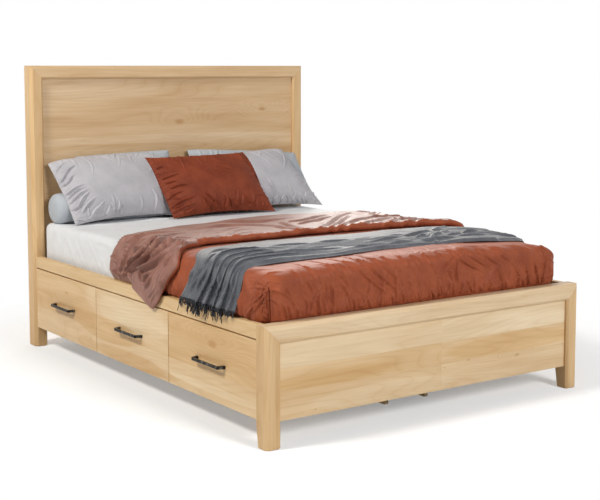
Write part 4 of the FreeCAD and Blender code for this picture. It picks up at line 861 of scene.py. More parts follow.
def over_corner(lift):
    """The turned back layer: tucked in at the rails, and free over the left one near its corner."""
    low_lift = lift * (1 - 0.8 * np.clip((down_side - 0.74) / 0.2, 0, 1))
    tucked = over_duvet(flat_u, flat_w, low_lift) * (1 - soft_share)
    tucked = tucked + over_duvet(soft_u, flat_w, low_lift, SOFT, SOFT_X0) * soft_share
    free = over_duvet(corner_u, flat_w, lift * (1 - 0.72 * np.clip((down_side - 0.55) / 0.3, 0, 1)), CORNER)
    return tucked * (1 - loose[..., None]) + free * loose[..., None]


# folds of the hanging corner, then of the hem and the top, then towards the far side
TURNED_FOLDS = [
    (9, 9, 0.5, 0.1, 121.7, 270.7, 125, 266, 127.7, 257.3, 131.7, 249.3, 135, 243.3, 140.3, 239.3, 147.7,
     236, 157, 234.7, 168.3, 233.7, 178.3, 233),
    (7, 6, 0.7, 0.1, 127.7, 254.7, 128.3, 248.7, 130.3, 244.7),
    (7, 8, 0.8, 0.1, 127, 276, 128.3, 269.3, 131, 262.7, 133, 257.3, 133.3, 252),
    (9, 11, 0.6, 0.2, 129, 268.7, 131.7, 264, 137, 258.7, 142.3, 256, 147.7, 251.3, 151.7, 246.7, 155,
     242.7, 160.3, 240, 168.3, 237.3, 177, 235.7, 185, 234.3),
    (7, 7, 0.3, 0.2, 134.3, 252.7, 140.3, 248, 145.7, 244.7),
    (9, 12, 0.9, 0.2, 131.7, 272, 137, 267.3, 145, 260, 151.7, 254, 155.7, 249.3, 159.7, 244.7, 162.3,
     241.3, 166.3, 239.3, 175, 237.3),
    (9, 10, 0.3, 0.2, 153, 255.3, 159, 252.7, 163.7, 250, 167, 246, 171.7, 244.7, 178.3, 241.3, 185,
     239.3),
    (12, 12, 0.9, 0.2, 142.3, 269.3, 150.3, 266, 158.3, 260.7, 163.7, 256, 167, 252, 170.3, 250),
    (9, 9, 0.8, 0.1, 141, 270.7, 141.7, 276.7, 142.3, 282, 144.3, 286),
    (7, 6, 0.3, 0.2, 163, 256.7, 166.3, 254, 169, 251.3),
    (8, 8, 0.6, 0.2, 144.3, 282, 146.3, 278, 149, 274, 151, 270.7),
    (9, 8, 0.4, 0.3, 151.7, 276.7, 150.3, 282, 146.3, 287.3, 143.7, 289.3),
    (9, 6, 0.4, 0.2, 147.7, 296.7, 151.7, 293.3, 155, 289.3),
    (9, 6, 0.4, 0.2, 151, 302.7, 153, 296.7, 158.3, 290.7),
    (9, 6, 0.2, 0.4, 163.7, 278, 161.7, 286.7, 160.3, 292),
    (12, 6, 0.2, 0.1, 171.7, 252, 169, 260, 165, 268),
    (9, 5, 0.3, 0.1, 115, 242, 119.7, 237.3, 127, 233.3),
    (9, 6, 0.3, 0.1, 117.7, 245.3, 122.3, 241.3, 127.7, 238, 135, 235.3),
    (8, 6, 0.3, 0.1, 121.7, 246.7, 125, 242, 129.7, 238.7, 139.7, 236),
    (7, 5, 0.3, 0.1, 125, 249.3, 127.7, 245.3, 131.7, 242),
    (22, 7, 0.3, 0.3, 115, 246.7, 114.3, 254.7, 117.7, 262.7),
    (7, 6, 0.2, 0.9, 117.7, 266.7, 118.3, 273.3),
    (7, 6, 0.2, 0.9, 124.3, 272, 125.7, 277.3),
    (6, 5, 0.2, 0.9, 121, 272.7, 121.7, 277.3),
    (8, 7, 0.2, 0.2, 157, 240, 165, 236.7, 175, 234.3),
    (9, 8, 0.2, 0.2, 167.7, 243.3, 178.3, 240, 191.7, 238.7),
    (9, 7, 0.3, 0.3, 171.7, 248, 181.7, 244.7, 189, 242.7),
    (26, 3, 0.3, 0.4, 190, 225.4, 208.7, 224.1, 230.2, 222.4, 255.4, 223, 283.5, 220.7, 292.8, 219.2),
    (26, 3.4, 0.3, 0.5, 190, 230.8, 208.7, 228.6, 222.7, 226.5, 246.1, 226.2, 272.2, 226.7),
    (20, 3.4, 0.6, 0.5, 272.2, 226.7, 283.5, 229.7, 297.5, 232.2, 310.6, 232.7),
    (18, 3.6, 0.6, 0.5, 281.6, 224.1, 289.1, 226.9, 300.3, 230.4, 315.2, 232.5),
    (22, 3.4, 0.6, 0.3, 289.1, 223.8, 302.1, 222.4, 314.3, 218.7, 325.5, 215.9),
    (20, 3.4, 0.5, 0.3, 300.3, 225, 311.5, 223, 320.8, 219.8, 330.2, 217.4),
    (28, 2.6, 0.3, 0.2, 283.5, 216.6, 302.1, 214, 320.8, 211.4),
    (18, 2.2, 0.5, 0.2, 218, 234.6, 229.3, 230.8, 242.3, 229),
    (16, 2.4, 0.6, 0.2, 225.5, 237.4, 233.9, 232.7, 249.8, 230.8),
    (16, 2.4, 0.6, 0.2, 232.1, 239.3, 242.3, 234.6, 255.4, 232.2),
    (16, 2.2, 0.6, 0.2, 240.5, 239.7, 249.8, 235.5, 262.9, 232.7),
    (16, 2.2, 0.6, 0.2, 249.8, 239.3, 259.2, 236, 272.2, 233.6),
    (18, 2.4, 0.5, 0.2, 199.3, 236.4, 206.8, 232.7, 218, 229.9),
    (20, 3.6, 0.6, 0.3, 320, 228, 328.4, 224.3, 335.9, 218.7, 343.4, 215.4, 350.8, 214),
    (18, 3.6, 0.7, 0.3, 329.3, 230.8, 337.8, 225.2, 342.4, 220.1, 348, 216.4),
    (20, 3.6, 0.7, 0.3, 339.6, 231.8, 342.4, 227.1, 348, 223.8, 359.3, 221, 372.3, 217.8, 383.6, 216.8),
    (20, 3.4, 0.6, 0.3, 350.8, 228, 364.9, 225.2, 379.8, 221, 391, 217.8),
    (14, 3.2, 0.7, 0.3, 385.4, 227.1, 391, 223.4, 394.8, 218.7),
    (14, 3.2, 0.7, 0.3, 391, 225.2, 397.6, 221, 404.1, 218.2),
    (14, 3.2, 0.7, 0.3, 404.1, 224.8, 413.5, 221, 422.8, 219.2),
    (14, 3, 0.7, 0.3, 418.1, 224.5, 427.5, 221.7, 436.8, 220.1),
    (20, 2.6, 0.3, 0.3, 376.1, 214, 385.4, 217.3, 392.9, 217.8),
]
folds = traced(over_corner(stand), flat, TURNED_FOLDS)
hem_line = np.stack([column_u, hem_w + 4], -1)[column_u > -730][::5]
crumple = puckers(hem_line, 40, 60, 10, 3.0, 60, 24, 25) + puckers(hem_line, 90, 120, 17, 3.5, 60, 25, 30)
rail_left = [(-(X0 + SIDE.length * 0.86), -60), (-(X0 + SIDE.length * 0.86), 190)]
rail_right = [(X0 + SIDE.length * 0.86, 560), (X0 + SIDE.length * 0.86, -360)]
crumple += puckers(rail_left, 26, 40, 7, 6.0, -90, 26) + puckers(rail_right, 42, 80, 11, 5.0, -90, 27)
crumple += puckers([(X0 - 40, 520), (X0 - 40, -330)], 70, 150, 18, 5.0, -100, 28, 25)
sheared = flat_w + 0.7 * np.clip(flat_u + X0, -400, 0)
near_hem = np.exp(-np.maximum(flat_w - hem_w[:, None], 0) / 110)
top_share = np.interp(flat_u, [-745, -690, -560, -500], [1.0, 0.4, 0.4, 1.1])
# folds and gathers, soft swells, long crumples, and fine ones near the hem and down the hanging side
extra = creases(flat_u, flat_w, folds, 0.66, 2.7) * top_share + creases(flat_u, flat_w, crumple, 0.9, 1.0)
extra += rumple(flat_u, flat_w, 170, 120, 29) * 4
extra += crumples(flat_u, sheared, 3, 60, 260, 33) * 5.0 * (0.6 + 0.3 * near_hem)
fine = crumples(flat_u, sheared, 20, 20, 70, 36) * 3.5 * (0.1 + 0.9 * (flat_u < -600) + 0.4 * near_hem)
extra += fine * np.clip((crease_w[:, None] - 30 - flat_w) / 90, 0.05, 1)
extra *= np.clip((crease_w[:, None] + 10 - flat_w) / 60, 0.35, 1) * np.clip((stand + 2) / 14, 0, 1)
extra *= np.clip((reach - np.abs(flat_u)) / 20, 0.15, 1)
turned = over_corner(stand + 5 + soft_limit(extra, -26, 42))
turned_back = piece(skin("duvet_turned_back", keep_off_frame(turned, inner=786.0), flat, 3.0), reverse_cotton,
                    "duvet", slot="rust_cotton")

# the cover's own rust side is inside and shows on the hem's roll
turned_back.data.materials.append(rust_cotton)
rows, columns = flat_u.shape
face_side = np.zeros(len(turned_back.data.polygons), np.int32)
outer_faces = np.arange((rows - 1) * (columns - 1)).reshape(rows - 1, -1)
face_side[outer_faces.size:] = 1
face_side[outer_faces[column_u[:-1] > -640][:, :6].ravel()] = 1
face_side[outer_faces[:, :4].ravel()] = 1
turned_back.data.polygons.foreach_set("material_index", face_side)

# Throw

# where its gathers meet across the width, as shares from its head edge, and how high each stands between them
VALLEY_SHARES = [(-950, [0, 0.34, 0.50, 0.64, 0.77, 0.89, 1]), (-700, [0, 0.40, 0.54, 0.66, 0.78, 0.89, 1]),
                 (0, [0, 0.42, 0.55, 0.68, 0.80, 0.90, 1]), (700, [0, 0.22, 0.42, 0.58, 0.72, 0.86, 1])]
ROLL_HEIGHTS = [(-950, [10, 30, 31, 30, 28, 20]), (-700, [6, 23, 23, 21, 20, 14]),
                (-300, [4, 11, 11, 11, 10, 8]), (700, [10, 11, 9, 11, 9, 8])]
# twists down the near overhang, then over the top and at the far side
THROW_TWISTS = [
    (7, 7, 0.2, 0.3, 193.3, 278.3, 200, 271.7, 208.3, 260),
    (7, 7, 0.2, 0.3, 196.7, 290, 202.5, 278.3, 206.7, 270),
    (7, 6, 0.2, 0.3, 188.3, 283.3, 192.5, 271.7, 195.8, 263.3),
    (6, 5, 0.3, 0.3, 200, 293.3, 201.7, 283.3, 203.7, 278.3),
    (6, 5, 0.3, 0.3, 190.8, 291.7, 195, 283.3, 198.3, 275),
    (6, 6, 0.2, 0.4, 215, 273.3, 212, 283.3, 213.3, 293.3),
    (6, 6, 0.2, 0.4, 219.2, 270, 216.7, 281.7, 217.5, 293.3, 216.7, 300),
    (6, 6, 0.2, 0.4, 226.7, 278.3, 223.7, 290, 220.8, 300),
    (6, 6, 0.2, 0.4, 234.2, 273.3, 230.8, 286.7, 230, 300),
    (7, 5, 0.2, 0.2, 208.3, 255, 220, 250, 233.3, 248.3),
    (6, 5, 0.2, 0.2, 205, 263.3, 210, 257.5, 216.7, 253.3),
    (14, 7.2, 0.2, 0.4, 367.6, 242.3, 406.9, 236.4, 422.5, 232.5, 444.1, 226.6, 465.7, 225.6),
    (14, 7.2, 0.2, 0.4, 387.3, 244.2, 416.7, 240.3, 432.4, 240.3, 455.9, 236.4, 485.3, 234.4, 514.7,
     236.4),
    (14, 8.1, 0.6, 0.5, 418.6, 236.4, 426.5, 234.4, 433.3, 237.4, 436.3, 243.2),
    (14, 8.1, 0.4, 0.4, 434.3, 234.4, 446.1, 230.5, 475.5, 226.6, 495.1, 230.5),
    (14, 7.2, 0.4, 0.5, 438.2, 242.3, 465.7, 240.3, 495.1, 238.3, 520.6, 238.3),
    (12, 7.2, 0.4, 0.4, 446.1, 236.4, 465.7, 232.5, 485.3, 230.5, 504.9, 232.5),
    (12, 4.5, 0.4, 0.2, 250, 247.2, 279.4, 244.2, 328.4, 241.3, 371.6, 237.4, 406.9, 234.4),
    (12, 4.5, 0.4, 0.2, 250, 254, 289.2, 251.1, 338.2, 247.2, 367.6, 245.2),
]
throw_u = np.arange(-(X0 + HANG.length * 0.68), X0 + 122, 6.4)
count = 176
b = np.linspace(0, 1, count)
# the gathers leave it 480 mm across, and its weave is drawn as 900 mm wide, so that it shows drawn together
GATHERED, WOVEN = 480, 900
head_w, foot_w = edge_at(THROW_HEAD, throw_u), edge_at(THROW_FOOT, throw_u)
uu = np.repeat(throw_u[:, None], count, 1)
bb = np.repeat(b[None], len(throw_u), 0)
aa = bb * GATHERED
stations = [at for at, _ in VALLEY_SHARES]
height_stations = [at for at, _ in ROLL_HEIGHTS]
# each of its six rolls is a half wave between two valleys, leaned over
height, lean = np.zeros_like(uu), np.zeros_like(uu)
for number in range(6):
    low = np.interp(throw_u, stations, [row[number] for _, row in VALLEY_SHARES])
    high = np.interp(throw_u, stations, [row[number + 1] for _, row in VALLEY_SHARES])
    if number:
        low = low + rumple(throw_u, throw_u * 0, 150, 50, 70 + number) * 0.022
    if number < 5:
        high = high + rumple(throw_u, throw_u * 0, 150, 50, 71 + number) * 0.022
    tall = np.interp(throw_u, height_stations, [row[number] for _, row in ROLL_HEIGHTS])
    tall = tall * (1 + 0.3 * rumple(throw_u, throw_u * 0 + number * 90, 120, 50, 80))
    t = (bb - low[:, None]) / (high - low)[:, None]
    within = (t >= 0) & (t < 1)
    t = np.clip(t, 0, 1)
    bow = np.sin(math.pi * t) ** (0.72 if number else 0.5) * tall[:, None]
    height += np.where(within, bow, 0)
    lean += np.where(within, np.sin(2 * math.pi * t) * tall[:, None] * (0.55 if number else 0.1), 0)
height += 3.2 + crumples(uu, aa, 2, 26, 170, 43) * 2.0 + crumples(uu, aa, 40, 24, 60, 46) * 0.6
height += crumples(uu, aa, 8, 50, 170, 49) * 6.0 * np.clip((uu - 150) / 300, 0, 1)
height = height * np.clip(np.minimum(bb, 1 - bb) * 30, 0.2, 1)
ww = head_w[:, None] + (foot_w - head_w)[:, None] * bb - lean * np.clip(np.minimum(bb, 1 - bb) * 25, 0, 1)
throw_points = over_duvet(uu, ww, height, HANG)
# its near side hangs in a section of its own, and the rest follows the duvet's
side_blend = np.clip((-uu - X0 + 10) / 60, 0, 1)[..., None]
throw_points = throw_points * side_blend + over_duvet(uu, ww, height + 1.5) * (1 - side_blend)
throw_points = slump(throw_points, uu, ww)
twists = traced(throw_points, np.stack([uu, aa], -1), THROW_TWISTS)
throw_points = throw_points - normals_of(throw_points) * creases(uu, aa, twists, 1.0, 1.3)[..., None]
flat = np.stack([uu, bb * WOVEN], -1)
throw = piece(skin("throw_cloth", throw_points[:, ::-1], flat[:, ::-1], 2.2), charcoal_weave, "throw_blanket",
              slot="charcoal_weave")


def fringe_tree():
    """Fringe along a line: twisted strands hung at random lengths and leans, then made real."""
    tree = bpy.data.node_groups.new("knotted_fringe", "GeometryNodeTree")
    sockets = {}
    tree.interface.new_socket("Geometry", in_out="OUTPUT", socket_type="NodeSocketGeometry")
    for name, kind in (("Edge", "Object"), ("Strand", "Object"), ("Count", "Int"), ("Seed", "Int"),
                       ("Finish", "Material")):
        socket = tree.interface.new_socket(name, in_out="INPUT", socket_type="NodeSocket" + kind)
        sockets[name] = socket.identifier
    given = add(tree, "NodeGroupInput")
    edge = add(tree, "GeometryNodeObjectInfo", {"Object": given.outputs["Edge"]})
    strand = add(tree, "GeometryNodeObjectInfo", {"Object": given.outputs["Strand"]})
    line = add(tree, "GeometryNodeMeshToCurve", {0: edge.outputs["Geometry"]})
    spots = add(tree, "GeometryNodeCurveToPoints", {0: line, "Count": given.outputs["Count"]})
    lean = add(tree, "FunctionNodeRandomValue", {0: (-0.16, -0.45, -3.14), 1: (0.16, 0.45, 3.14),
                                                 "Seed": given.outputs["Seed"]}, data_type="FLOAT_VECTOR")
    size = add(tree, "FunctionNodeRandomValue", {0: (0.85, 0.85, 0.7), 1: (1.2, 1.2, 1.15),
                                                 "Seed": given.outputs["Seed"]}, data_type="FLOAT_VECTOR")
    # strands hang longer and shorter in clumps about 30 mm wide
    clump = add(tree, "TexNoise", {"Scale": 34.0, "Detail": 1.0})
    drop = add(tree, "MapRange", {"Value": clump, "From Min": 0.38, "From Max": 0.6, "To Min": 0.3,
                                  "To Max": 1.15})
    share = add(tree, "CombineXYZ", {0: 1.0, 1: 1.0, 2: drop})
    scaled = add(tree, "VectorMath", {0: size, 1: share}, operation="MULTIPLY")
    hung = add(tree, "GeometryNodeInstanceOnPoints", {"Points": spots, "Instance": strand.outputs["Geometry"],
                                                      "Rotation": lean, "Scale": scaled})
    real = add(tree, "GeometryNodeRealizeInstances", {0: hung})
    done = add(tree, "GeometryNodeSetMaterial", {0: real, "Material": given.outputs["Finish"]})
    add(tree, "NodeGroupOutput", {0: done})
    return tree, sockets


def tube(line, radii, sides):
    """Points and faces of a closed tube along a line, in millimetres."""
    line = np.asarray(line, float)
    ahead = np.gradient(line, axis=0)
    ahead /= np.maximum(np.linalg.norm(ahead, axis=1, keepdims=True), 1e-9)
    side = np.cross(ahead, [0.31, 0.83, 0.11])
    side /= np.linalg.norm(side, axis=1, keepdims=True)
    other = np.cross(ahead, side)
    turn = np.linspace(0, 2 * math.pi, sides, endpoint=False)
    ring = side[:, None] * np.cos(turn)[None, :, None] + other[:, None] * np.sin(turn)[None, :, None]
    points = line[:, None] + ring * np.asarray(radii, float)[:, None, None]
    index = np.arange(len(line) * sides).reshape(len(line), sides)
    after = np.roll(index, -1, axis=1)
    quads = np.stack([index[:-1], after[:-1], after[1:], index[1:]], -1).reshape(-1, 4)
    return points.reshape(-1, 3), quads


def make_fringe(name, line, count, length):
    """Knotted strands along an edge line in millimetres."""
    down = np.linspace(0, 1, 9)
    strand_line = np.stack([np.sin(down * 7) * 1.2, np.cos(down * 5) * 1.0 - 1, -down * length], -1)
    radii = [1.0, 2.3, 2.4, 1.4, 1.6, 1.5, 1.6, 1.9, 0.5]
    points, quads = tube(strand_line, radii, 6)
    strand = build_mesh(name + "_strand", points, quads, points[:, :2])
    edge_mesh = bpy.data.meshes.new(name + "_edge")
    edge_mesh.from_pydata((line * MM).tolist(), [(i, i + 1) for i in range(len(line) - 1)], [])
    edge = bpy.data.objects.new(name + "_edge", edge_mesh)
    holder = bpy.data.objects.new(name, bpy.data.meshes.new(name))
    for made in (edge, holder):
        scene.collection.objects.link(made)
    tree, sockets = fringe_tree()
    modifier = holder.modifiers.new("fringe", "NODES")
    modifier.node_group = tree
    given = {"Edge": edge, "Strand": strand, "Count": count, "Seed": 5, "Finish": fringe_yarn_painted_shade}
    for key, value in given.items():
        modifier[sockets[key]] = value
    evaluated = holder.evaluated_get(bpy.context.evaluated_depsgraph_get())
    holder_mesh = bpy.data.meshes.new_from_object(evaluated)
    holder.modifiers.clear()
    holder.data = holder_mesh
    for spare in (edge, strand):
        bpy.data.objects.remove(spare)
    return holder


hem_edge = throw_points[0] + np.array([-1.0, 0, 1.0])
far_edge = throw_points[-1] + np.array([1.0, 0, 1.0])
for name, line, strands, length in (("near", hem_edge, 190, 52), ("far", far_edge, 120, 50)):
    made = make_fringe("throw_fringe_" + name, line, strands, length)
    piece(made, fringe_yarn_painted_shade, slot="charcoal_weave")

# Pillows

CAP = 16.0  # how far the filling may move a point, in mm
SETTLE = 24  # frames that it settles over
REST_GAP = 0.6  # between a pillow and what it rests on, in mm


def stuffed(corners, thick, crown):
    """A stuffed case: front and back grids on one seam, relaxed as cloth from the form it is filled to.

    It stands thick mm through, and the middle of its upper seam bows up by half of crown.
    """
    lower_left, lower_right, upper_left, upper_right = (np.array(c, float) for c in corners)
    length = (np.linalg.norm(lower_right - lower_left) + np.linalg.norm(upper_right - upper_left)) / 2
    height = (np.linalg.norm(upper_left - lower_left) + np.linalg.norm(upper_right - lower_right)) / 2
    rows, columns = int(length / 8) + 1, int(height / 8) + 1
    u, v = np.meshgrid(np.linspace(-1, 1, rows), np.linspace(-1, 1, columns), indexing="ij")
    # the side seams are drawn in by 9 mm at their middles, and the lower one by 24
    side_draw, end_draw = 9 / (length / 2), 24 / (height / 2)
    across, up = u * (1 - side_draw * (1 - v ** 2)) / 2 + 0.5, v / 2 + 0.5
    up = up + np.where(v < 0, end_draw * (1 - u ** 2), crown / height * (1 - np.abs(u) ** 5)) * np.abs(v) / 2
    across, up = across[..., None], up[..., None]
    middle = (lower_left * (1 - across) + lower_right * across) * (1 - up)
    middle += (upper_left * (1 - across) + upper_right * across) * up
    facing = normals_of(middle)
    dome = (np.clip(1 - np.abs(u) ** 2.6, 0, 1) * np.clip(1 - np.abs(v) ** 2.3, 0, 1)) ** 0.56
    bulge = facing * (dome * thick / 2)[..., None]
    form = np.stack([middle + bulge, middle - bulge])
    # the cloth is larger than the outline, as a case is before it is filled
    slack_u, slack_v = 1 + 2.2 * (thick / 2 / length) ** 2 + 0.03, 1 + 2.2 * (thick / 2 / height) ** 2 + 0.03
    flat = np.stack([u * length / 2 * slack_u, v * height / 2 * slack_v], -1)
    rim, second, quads = on_one_seam(rows, columns)
    made = build_mesh("stuffing", form.reshape(-1, 3), quads)
    made.shape_key_add(name="filled")
    pattern = made.shape_key_add(name="pattern")
    cut = np.concatenate([flat, np.zeros((rows, columns, 1))], -1).reshape(-1, 3) * MM
    pattern.data.foreach_set("co", np.concatenate([cut, cut]).ravel())
    seam = made.vertex_groups.new(name="seam")
    seam.add(np.where(np.tile(rim.ravel(), 2))[0].tolist(), 1.0, "REPLACE")
    cloth = made.modifiers.new("stuffing", "CLOTH")
    s = cloth.settings
    s.quality, s.mass, s.tension_stiffness, s.compression_stiffness = 6, 0.3, 12, 12
    s.shear_stiffness, s.bending_stiffness, s.air_damping = 4, 0.02, 3.0
    s.use_pressure, s.uniform_pressure_force = True, 3.0
    s.vertex_group_mass, s.rest_shape_key = "seam", pattern
    s.effector_weights.gravity = 0
    cloth.point_cache.frame_start, cloth.point_cache.frame_end = 1, SETTLE
    for number in range(1, SETTLE + 1):
        scene.frame_set(number)
    relaxed = made.evaluated_get(bpy.context.evaluated_depsgraph_get()).data
    co = np.zeros(len(relaxed.vertices) * 3)
    relaxed.vertices.foreach_get("co", co)
    co = co.reshape(-1, 3) / MM
    scene.frame_set(1)
    bpy.data.objects.remove(made)
    moved = np.concatenate([co[:rows * columns], co[second]]).reshape(form.shape) - form
    far = np.linalg.norm(moved, axis=-1, keepdims=True)
    form = form + moved * np.minimum(1, CAP / np.maximum(far, 1e-6))
    return form[0], form[1], flat, facing.mean((0, 1))


def finer(grid, times):
    """A grid of points with cubic in-between points."""
    for axis in (0, 1):
        grid = np.moveaxis(grid, axis, 0)
        count = len(grid)
        spots = np.linspace(0, count - 1, (count - 1) * times + 1)
        i = np.minimum(spots.astype(int), count - 2)
        t = (spots - i).reshape((-1,) + (1,) * (grid.ndim - 1))
        p0, p1 = grid[np.maximum(i - 1, 0)], grid[i]
        p2, p3 = grid[i + 1], grid[np.minimum(i + 2, count - 1)]
        grid = p1 + 0.5 * t * (p2 - p0 + t * (2 * p0 - 5 * p1 + 4 * p2 - p3 + t * (3 * (p1 - p2) + p3 - p0)))
        grid = np.moveaxis(grid, 0, axis)
    return grid


# the slot that each case's cloth fills
SLOTS = {"washed_rust_cushion_cotton": "rust_cushion_cotton", "washed_grey_cotton": "grey_cotton",
         "pale_blue_grey_cotton": "pale_grey_cotton"}
# surfaces that pillows set down later rest on
blockers = []


def pillow(name, node, material, corners, thick, crown, lines, seed, crease=1.0):
    """A stuffed pillow leaned back on its lower seam, creased, and pressed flat against what it rests on."""
    front, back, flat, toward = stuffed(corners, thick, crown)
    front, back, flat = finer(front, 3), finer(back, 3), finer(flat, 3)
    toward = toward / np.linalg.norm(toward)
    u, v = flat[..., 0], flat[..., 1]
    half, high = u.max(), v.max()
    seams = [[(half, -high + 4), (-half, -high + 4)], [(-half, high - 4), (half, high - 4)],
             [(-half + 4, -high), (-half + 4, high)], [(half - 4, high), (half - 4, -high)]]
    gathered = []
    for number, seam in enumerate(seams):
        gathered += puckers(seam, 30, 40, 7, 1.8 * crease, -90, seed * 10 + number, 20)
        gathered += puckers(seam, 85, 110, 12, 2.6 * crease, -90, seed * 10 + 4 + number, 25)
    faces = []
    for number, face in enumerate((front, back)):
        strokes = list(gathered)
        if number == 0:
            strokes += traced(face, flat, lines)
        lift = creases(u, v, strokes, 0.62, 1.6) + rumple(u, v, 120, 90, seed) * 2.0
        rim = np.minimum(half - np.abs(u), high - np.abs(v))
        lift *= np.clip(rim / 14, 0, 1)
        normal = normals_of(face) * (1 if number == 0 else -1)
        faces.append(face + normal * lift[..., None])
    rim, _, quads = on_one_seam(*u.shape)
    points = np.concatenate([f.reshape(-1, 3) for f in faces])
    on_bed = np.abs(points[:, 0]) < SHEET_X + 20
    points[on_bed, 2] = np.maximum(points[on_bed, 2], SHEET_TOP + REST_GAP)
    panel_front, post_front, post_in = 1037.4, 1019.5, 758.0
    points[:, 1] = np.minimum(points[:, 1], np.where(np.abs(points[:, 0]) > post_in, post_front, panel_front))
    # a point inside something set down earlier moves out to its surface, the way that the pillow faces
    for net in blockers:
        for number in range(len(points)):
            start = Vector(points[number] * MM)
            hit = net.ray_cast(start + Vector(toward) * 0.3, -Vector(toward), 0.3)
            if hit[0] is not None:
                points[number] = np.array(hit[0]) / MM + toward * REST_GAP
    made = build_mesh(name, points, quads, np.concatenate([flat.reshape(-1, 2)] * 2))
    blockers.append(net_of(points, quads))
    # the back's own rim points are in no face
    spare = np.where(rim.ravel())[0] + rim.size
    work = bmesh.new()
    work.from_mesh(made.data)
    work.verts.ensure_lookup_table()
    bmesh.ops.delete(work, geom=[work.verts[i] for i in spare], context="VERTS")
    work.to_mesh(made.data)
    work.free()
    piece(made, material, node, slot=SLOTS[material.name])


def make_bolster():
    """A round bolster with a gathered, slightly domed end and lengthwise drags."""
    low, high = (np.array(v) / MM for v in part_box("bolster"))
    # 3 mm fuller than the frame's solid, and 28 mm shorter at its left end
    radius = (high[1] - low[1]) / 2 + 3
    half = (high[0] - low[0]) / 2 - 14
    centre = (low + high) / 2 + np.array([14, -3, 0])
    centre[2] = low[2] - 3 + radius
    turn = np.linspace(0, 2 * math.pi, 97)
    # half the bolster's section: distances in from its end, and radii
    end = np.array([(0, 1.0), (2, radius * 0.5), (7, radius * 0.8), (24, radius * 0.985), (60, radius)])
    run = rounded_line(np.concatenate([end * (1, 1) - (half, 0), (end * (-1, 1) + (half, 0))[::-1]]), 2)
    steps = distances(run)
    s = np.linspace(0, steps[-1], 190)
    x, r = np.interp(s, steps, run[:, 0]), np.interp(s, steps, run[:, 1])
    ring, spin = np.meshgrid(r, turn, indexing="ij")
    along = np.repeat(x[:, None], len(turn), 1)
    wrap = spin * radius
    bumps = rumple(along, np.cos(spin) * 120 + np.sin(spin) * 60, 90, 30, 61)
    ring = ring + bumps * 1.4 * np.clip(ring / radius * 2 - 1, 0, 1)
    points = np.stack([along, ring * np.cos(spin), ring * np.sin(spin)], -1) + centre
    points[..., 2] = np.maximum(points[..., 2], SHEET_TOP + 0.5)
    rows, columns = points.shape[:2]
    keep = points[:, :-1].reshape(-1, 3)
    index = np.arange(rows * (columns - 1)).reshape(rows, columns - 1)
    after = np.roll(index, -1, axis=1)
    quads = np.stack([index[:-1], index[1:], after[1:], after[:-1]], -1).reshape(-1, 4)
    flat = np.stack([along, wrap], -1)[:, :-1].reshape(-1, 2)
    made = build_mesh("bolster_stuffed", keep, quads[:, ::-1], flat)
    piece(made, pale_grey_cotton, "bolster", slot="pale_grey_cotton")
    blockers.append(net_of(keep, quads))


make_bolster()
# creases on the faces of the front pillows and the cushion
LEFT_CREASES = [
    (7, 4, 0.8, 0.1, 57.9, 161.4, 65, 159.3, 70.7, 158.9),
    (8, 5, 0.8, 0.1, 55, 174.3, 59.3, 167.1, 63.6, 163.6, 70, 161.4),
    (9, 6.5, 0.9, 0.1, 60, 182.9, 63.6, 178.6, 66.4, 171.4, 71.4, 166.4, 77.9, 163.6),
    (9, 6.5, 0.9, 0.1, 62.9, 186.4, 68.6, 182.1, 70.7, 177.1, 75.7, 174.3),
    (9, 7, 0.9, 0.1, 64.3, 196.4, 70, 191.4, 75.7, 187.1, 84.3, 184.3),
    (8, 6, 0.8, 0.1, 67.1, 200.7, 72.1, 194.3, 78.6, 189.3, 85.7, 186.4),
    (9, 7, 0.8, 0.1, 70, 204.3, 74.3, 198.6, 80, 192.9, 88.6, 189.3),
    (10, 8, 0.8, 0.1, 72.1, 210.7, 78.6, 207.1, 80, 202.9, 82.9, 197.1, 90, 191.4),
    (9, 6.5, 0.4, 0.1, 82.9, 212.1, 85.7, 206.4, 90, 201.4, 95.7, 197.1),
    (9, 6.5, 0.8, 0.1, 90, 218.6, 92.9, 212.1, 99.3, 206.4, 104.3, 201.4),
    (7, 5, 0.8, 0.3, 74.3, 220.7, 82.9, 220, 90, 218.6),
    (7, 6.5, 0.1, 0.7, 111.4, 202.1, 114.3, 207.9, 117.1, 212.1),
    (7, 6, 0.1, 0.8, 120, 200.7, 119.3, 207.1, 115.7, 214.3),
    (6, 5, 0.1, 0.8, 123.6, 204.3, 120.7, 208.6, 117.1, 215),
    (7, 5, 0.8, 0.1, 106.4, 214.3, 109.3, 208.6, 110.7, 205),
    (8, 5.5, 0.2, 0.6, 153, 188.4, 157, 197.6, 154.5, 210.8),
    (8, 5.5, 0.2, 0.8, 159.7, 200.3, 166.3, 208.2, 165, 213.4),
]
RIGHT_CREASES = [
    (8, 5.5, 0.3, 0.2, 263.7, 177.9, 270.3, 187.1, 274.2, 193.7),
    (8, 5, 0.3, 0.2, 267.6, 176.6, 271.6, 184.5, 276, 190),
    (7, 6, 0.9, 0.1, 271.6, 204.2, 274.2, 197.6, 279.5, 195),
    (7, 6, 0.9, 0.1, 278.2, 204.2, 282.1, 197.6, 285, 194),
    (7, 6, 0.9, 0.1, 286.1, 202.9, 288.7, 197.6, 284.7, 193.7),
    (7, 5.5, 0.9, 0.1, 291.3, 202.9, 293.9, 196.3, 296, 192),
    (7, 6, 0.9, 0.1, 297.9, 201.6, 296.6, 195, 293.9, 192.4),
    (7, 6, 0.9, 0.1, 303.2, 202.9, 300.5, 196.3, 300, 191),
    (7, 5.5, 0.9, 0.1, 307.1, 202.9, 304.5, 197.6, 305.8, 192.4),
    (9, 4.5, 0.7, 0.1, 251.8, 152.9, 265, 158.2, 271.6, 164.7),
    (9, 4, 0.5, 0.1, 255.8, 159.5, 266.3, 164.7, 272, 170),
    (7, 4, 0.5, 0.1, 283, 153.5, 285, 160, 284, 168),
]
